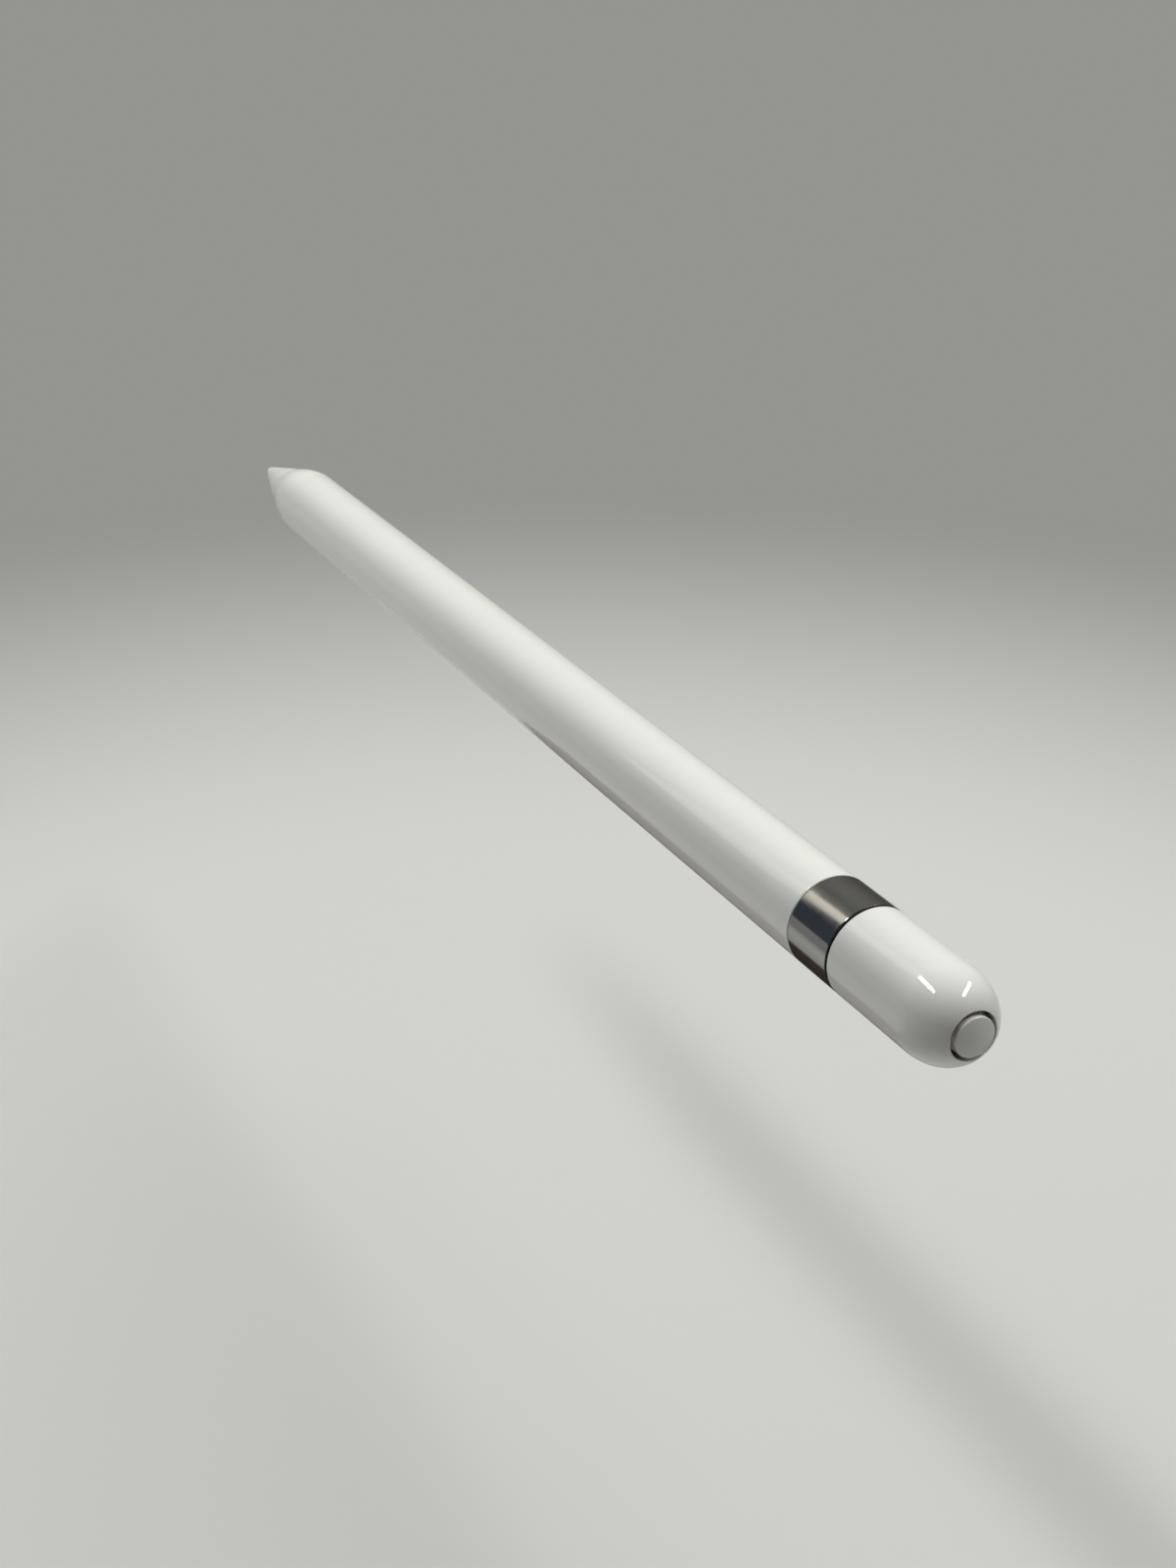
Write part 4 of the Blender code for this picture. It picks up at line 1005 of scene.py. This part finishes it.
# Painted shade and painted reflection that only mirror rays see: a dark front-left, a mid-grey under the
# cap and a brown dark under the barrel.
shade_mats = [
    ((0.15, 0.15, 0.15), (5 * MM, -200 * MM), (150 * MM, -15 * MM)),
    ((0.3, 0.3, 0.3), (12 * MM, -15 * MM), (150 * MM, 110 * MM)),
    ((0.11, 0.085, 0.065), (-110 * MM, -45 * MM), (12 * MM, 110 * MM)),
]
# Painted light for bounced rays only: a dark front and a pale patch under the cap.
front_dark = (0.11, 0.11, 0.105)
front_start, front_end = 110 * MM, 170 * MM
patch_pale = (0.92, 0.92, 0.88)
patch_x, patch_y = 105 * MM, -5 * MM
patch_start, patch_end = 60 * MM, 120 * MM
camera_ray = ("Is Camera Ray", "Is Transmission Ray")
mirror_ray = ("Is Glossy Ray",)


def ray_kind(graph, *kinds):
    """1 for the light paths of these kinds and 0 for the rest."""
    return sum(graph.add("ShaderNodeLightPath", output=kind) for kind in kinds)


floor_paint = Finish("floor_paint", {"Roughness": 0.9, "Specular IOR Level": 0.0})
floor_x, floor_y, _ = floor_paint.parts(floor_paint.place)
shine = floor_pale
for shade_mat_colour, mat_low, mat_high in shade_mats:
    mat = 1
    for place, low, high in zip((floor_x, floor_y), mat_low, mat_high):
        mat = floor_paint.ramp(place, low - mat_edge, low + mat_edge) * mat
        mat = (1 - floor_paint.ramp(place, high - mat_edge, high + mat_edge)) * mat
    shine = floor_paint.mix(mat, shine, shade_mat_colour)
bounce = floor_paint.mix(floor_paint.ramp(floor_x, front_start, front_end), floor_bounce, front_dark)
patch_radius = floor_paint.reach(floor_x - patch_x, floor_y - patch_y)
bounce = floor_paint.mix(floor_paint.ramp(patch_radius, patch_start, patch_end), patch_pale, bounce)
unseen = floor_paint.mix(ray_kind(floor_paint, *mirror_ray), bounce, shine)
floor_paint.set(Base_Color=floor_paint.mix(ray_kind(floor_paint, *camera_ray), unseen, floor_pale))
distance = floor_paint.reach(floor_x, floor_y)
fade = floor_paint.ramp(distance, fade_start, fade_end) * ray_kind(floor_paint, *camera_ray, *mirror_ray)
haze = floor_paint.add("ShaderNodeEmission", inputs={"Color": (*room_grey, 1), "Strength": 1.0})
lit = Wire(floor_paint, floor_paint.shader.outputs["BSDF"])
faded = floor_paint.add("ShaderNodeMixShader", inputs=[fade, lit, haze])
floor_paint.feed(floor_paint.tree.nodes["Material Output"], {"Surface": faded})
square = ((-1, -1), (1, -1), (1, 1), (-1, 1))
floor_corners = [(x * floor_half, y * floor_half, -floor_drop) for x, y in square]
floor_mesh = bpy.data.meshes.new("floor")
floor_mesh.from_pydata(floor_corners, [], [(0, 1, 2, 3)])
floor_mesh.materials.append(floor_paint.material)
floor = in_scene("floor", floor_mesh)


# Lamps: two long ceiling lamps over the stylus and the lit wall beside one of them, which all show in the
# gloss, and two weak lamps at the nose's side and far off, which only lift the shade. A dim room with one
# soft glow stands round it all.
lamp_height = 2.5
lamp_origin = Vector((cap_high.x, 0, axis_height))
nose_place = Vector((-60 * MM, 0, axis_height))


def area_lamp(name, length, width, watts):
    """A rectangular lamp that the camera doesn't see."""
    light = bpy.data.lights.new(name, "AREA")
    light.shape = "RECTANGLE"
    light.size = length
    light.size_y = width
    light.energy = watts
    lamp = in_scene(name, light)
    lamp.visible_camera = False
    return lamp


def ceiling_lamp(name, start, end, width, watts):
    """A long lamp that faces down. Its ends and width are in heights above the cap's end."""
    run = end - start
    lamp = area_lamp(name, run.length * lamp_height, width * lamp_height, watts)
    lamp.rotation_euler = (0, 0, math.atan2(run.y, run.x))
    lamp.location = lamp_origin + Vector((*(start + end) / 2, 1)) * lamp_height


def panel(name, target, azimuth, elevation, distance, size, watts, roll=0):
    """A soft lamp that faces the target from this bearing; bearing 0 is on the -Y side."""
    turn, rise = math.radians(azimuth), math.radians(elevation)
    back = Vector((math.sin(turn) * math.cos(rise), -math.cos(turn) * math.cos(rise), math.sin(rise)))
    facing = back.to_track_quat("Z", "Y") @ Quaternion((0, 0, 1), math.radians(roll))
    lamp = area_lamp(name, *size, watts)
    lamp.rotation_euler = facing.to_euler()
    lamp.location = target + back * distance
    return lamp


left_start, left_end = Vector((-0.985, -0.381)), Vector((-0.126, -0.518))
right_start, right_end = Vector((-0.19, 1.07)), Vector((0.447, 0.295))
ceiling_lamp("left_lamp", left_start, left_end, width=0.155, watts=43)
ceiling_lamp("right_lamp", right_start, right_end, width=0.125, watts=60)
wall_bearing = {"azimuth": 293.5, "elevation": 34.6, "distance": 2.0, "roll": 28}
lit_wall = panel("lit_wall", lamp_origin, **wall_bearing, size=(0.215, 0.98), watts=0.62)
lit_wall.data.color = (1, 0.94, 0.82)
side_bearing = {"azimuth": 340, "elevation": 10, "distance": 0.5}
side_lamp = panel("side_lamp", nose_place, **side_bearing, size=(0.15, 0.15), watts=0.025)
side_lamp.data.spread = math.radians(32)
far_bearing = {"azimuth": 235, "elevation": 52, "distance": 2.0}
far_lamp = panel("far_lamp", lamp_origin, **far_bearing, size=(1.2, 1.2), watts=14.5)
for lamp in (side_lamp, far_lamp):
    lamp.visible_glossy = False

room_fill = 0.4
front_loss = 0.75
dim_side, warm_side = (0.055, 0.07, 0.085), (0.265, 0.262, 0.245)
side_change, front_change = (-0.5, 0.5), (-0.2, 0.6)
glow_way = Vector((-0.74, -0.193, 0.645))
glow_colour = (0.27, 0.255, 0.225)
glow_reach = math.cos(math.radians(15))
room = bpy.data.worlds.new("room")
room.use_nodes = True
room_light = Graph(room.node_tree)
way = room_light.add("ShaderNodeTexCoord", output="Generated")
way_x, way_y, _ = room_light.parts(way)
walls = room_light.mix(room_light.ramp(way_y, *side_change), dim_side, warm_side)
glow = room_light.add("ShaderNodeVectorMath", {"operation": "DOT_PRODUCT"}, [way, glow_way], output="Value")
walls = room_light.mix(room_light.ramp(glow, glow_reach, 1.0), walls, glow_colour)
seen = room_light.mix(ray_kind(room_light, *camera_ray), walls, room_grey)
fill = room_fill * (1 - front_loss * room_light.ramp(way_x, *front_change))
level = fill + (1 - fill) * ray_kind(room_light, *camera_ray, *mirror_ray)
room_light.feed(room.node_tree.nodes["Background"], {"Color": seen, "Strength": level})
bpy.context.scene.world = room


# Camera: the photograph's viewing angle, near the cap's end and looking down at it. It is held level, and
# the stylus runs away from it to the upper left.
focal_length = 49.3
near_clip = 0.01
camera_place = Vector((205.69, -91.99, 93.94)) * MM
camera_fall, camera_heading = 24.69, 63.93
camera_lens = bpy.data.cameras.new("camera")
camera_lens.lens = focal_length
camera_lens.clip_start = near_clip
camera = in_scene("camera", camera_lens)
camera.location = camera_place
camera.rotation_euler = Euler((math.radians(90 - camera_fall), 0, math.radians(camera_heading)))
bpy.context.scene.camera = camera
bpy.context.scene.view_settings.view_transform = "Standard"
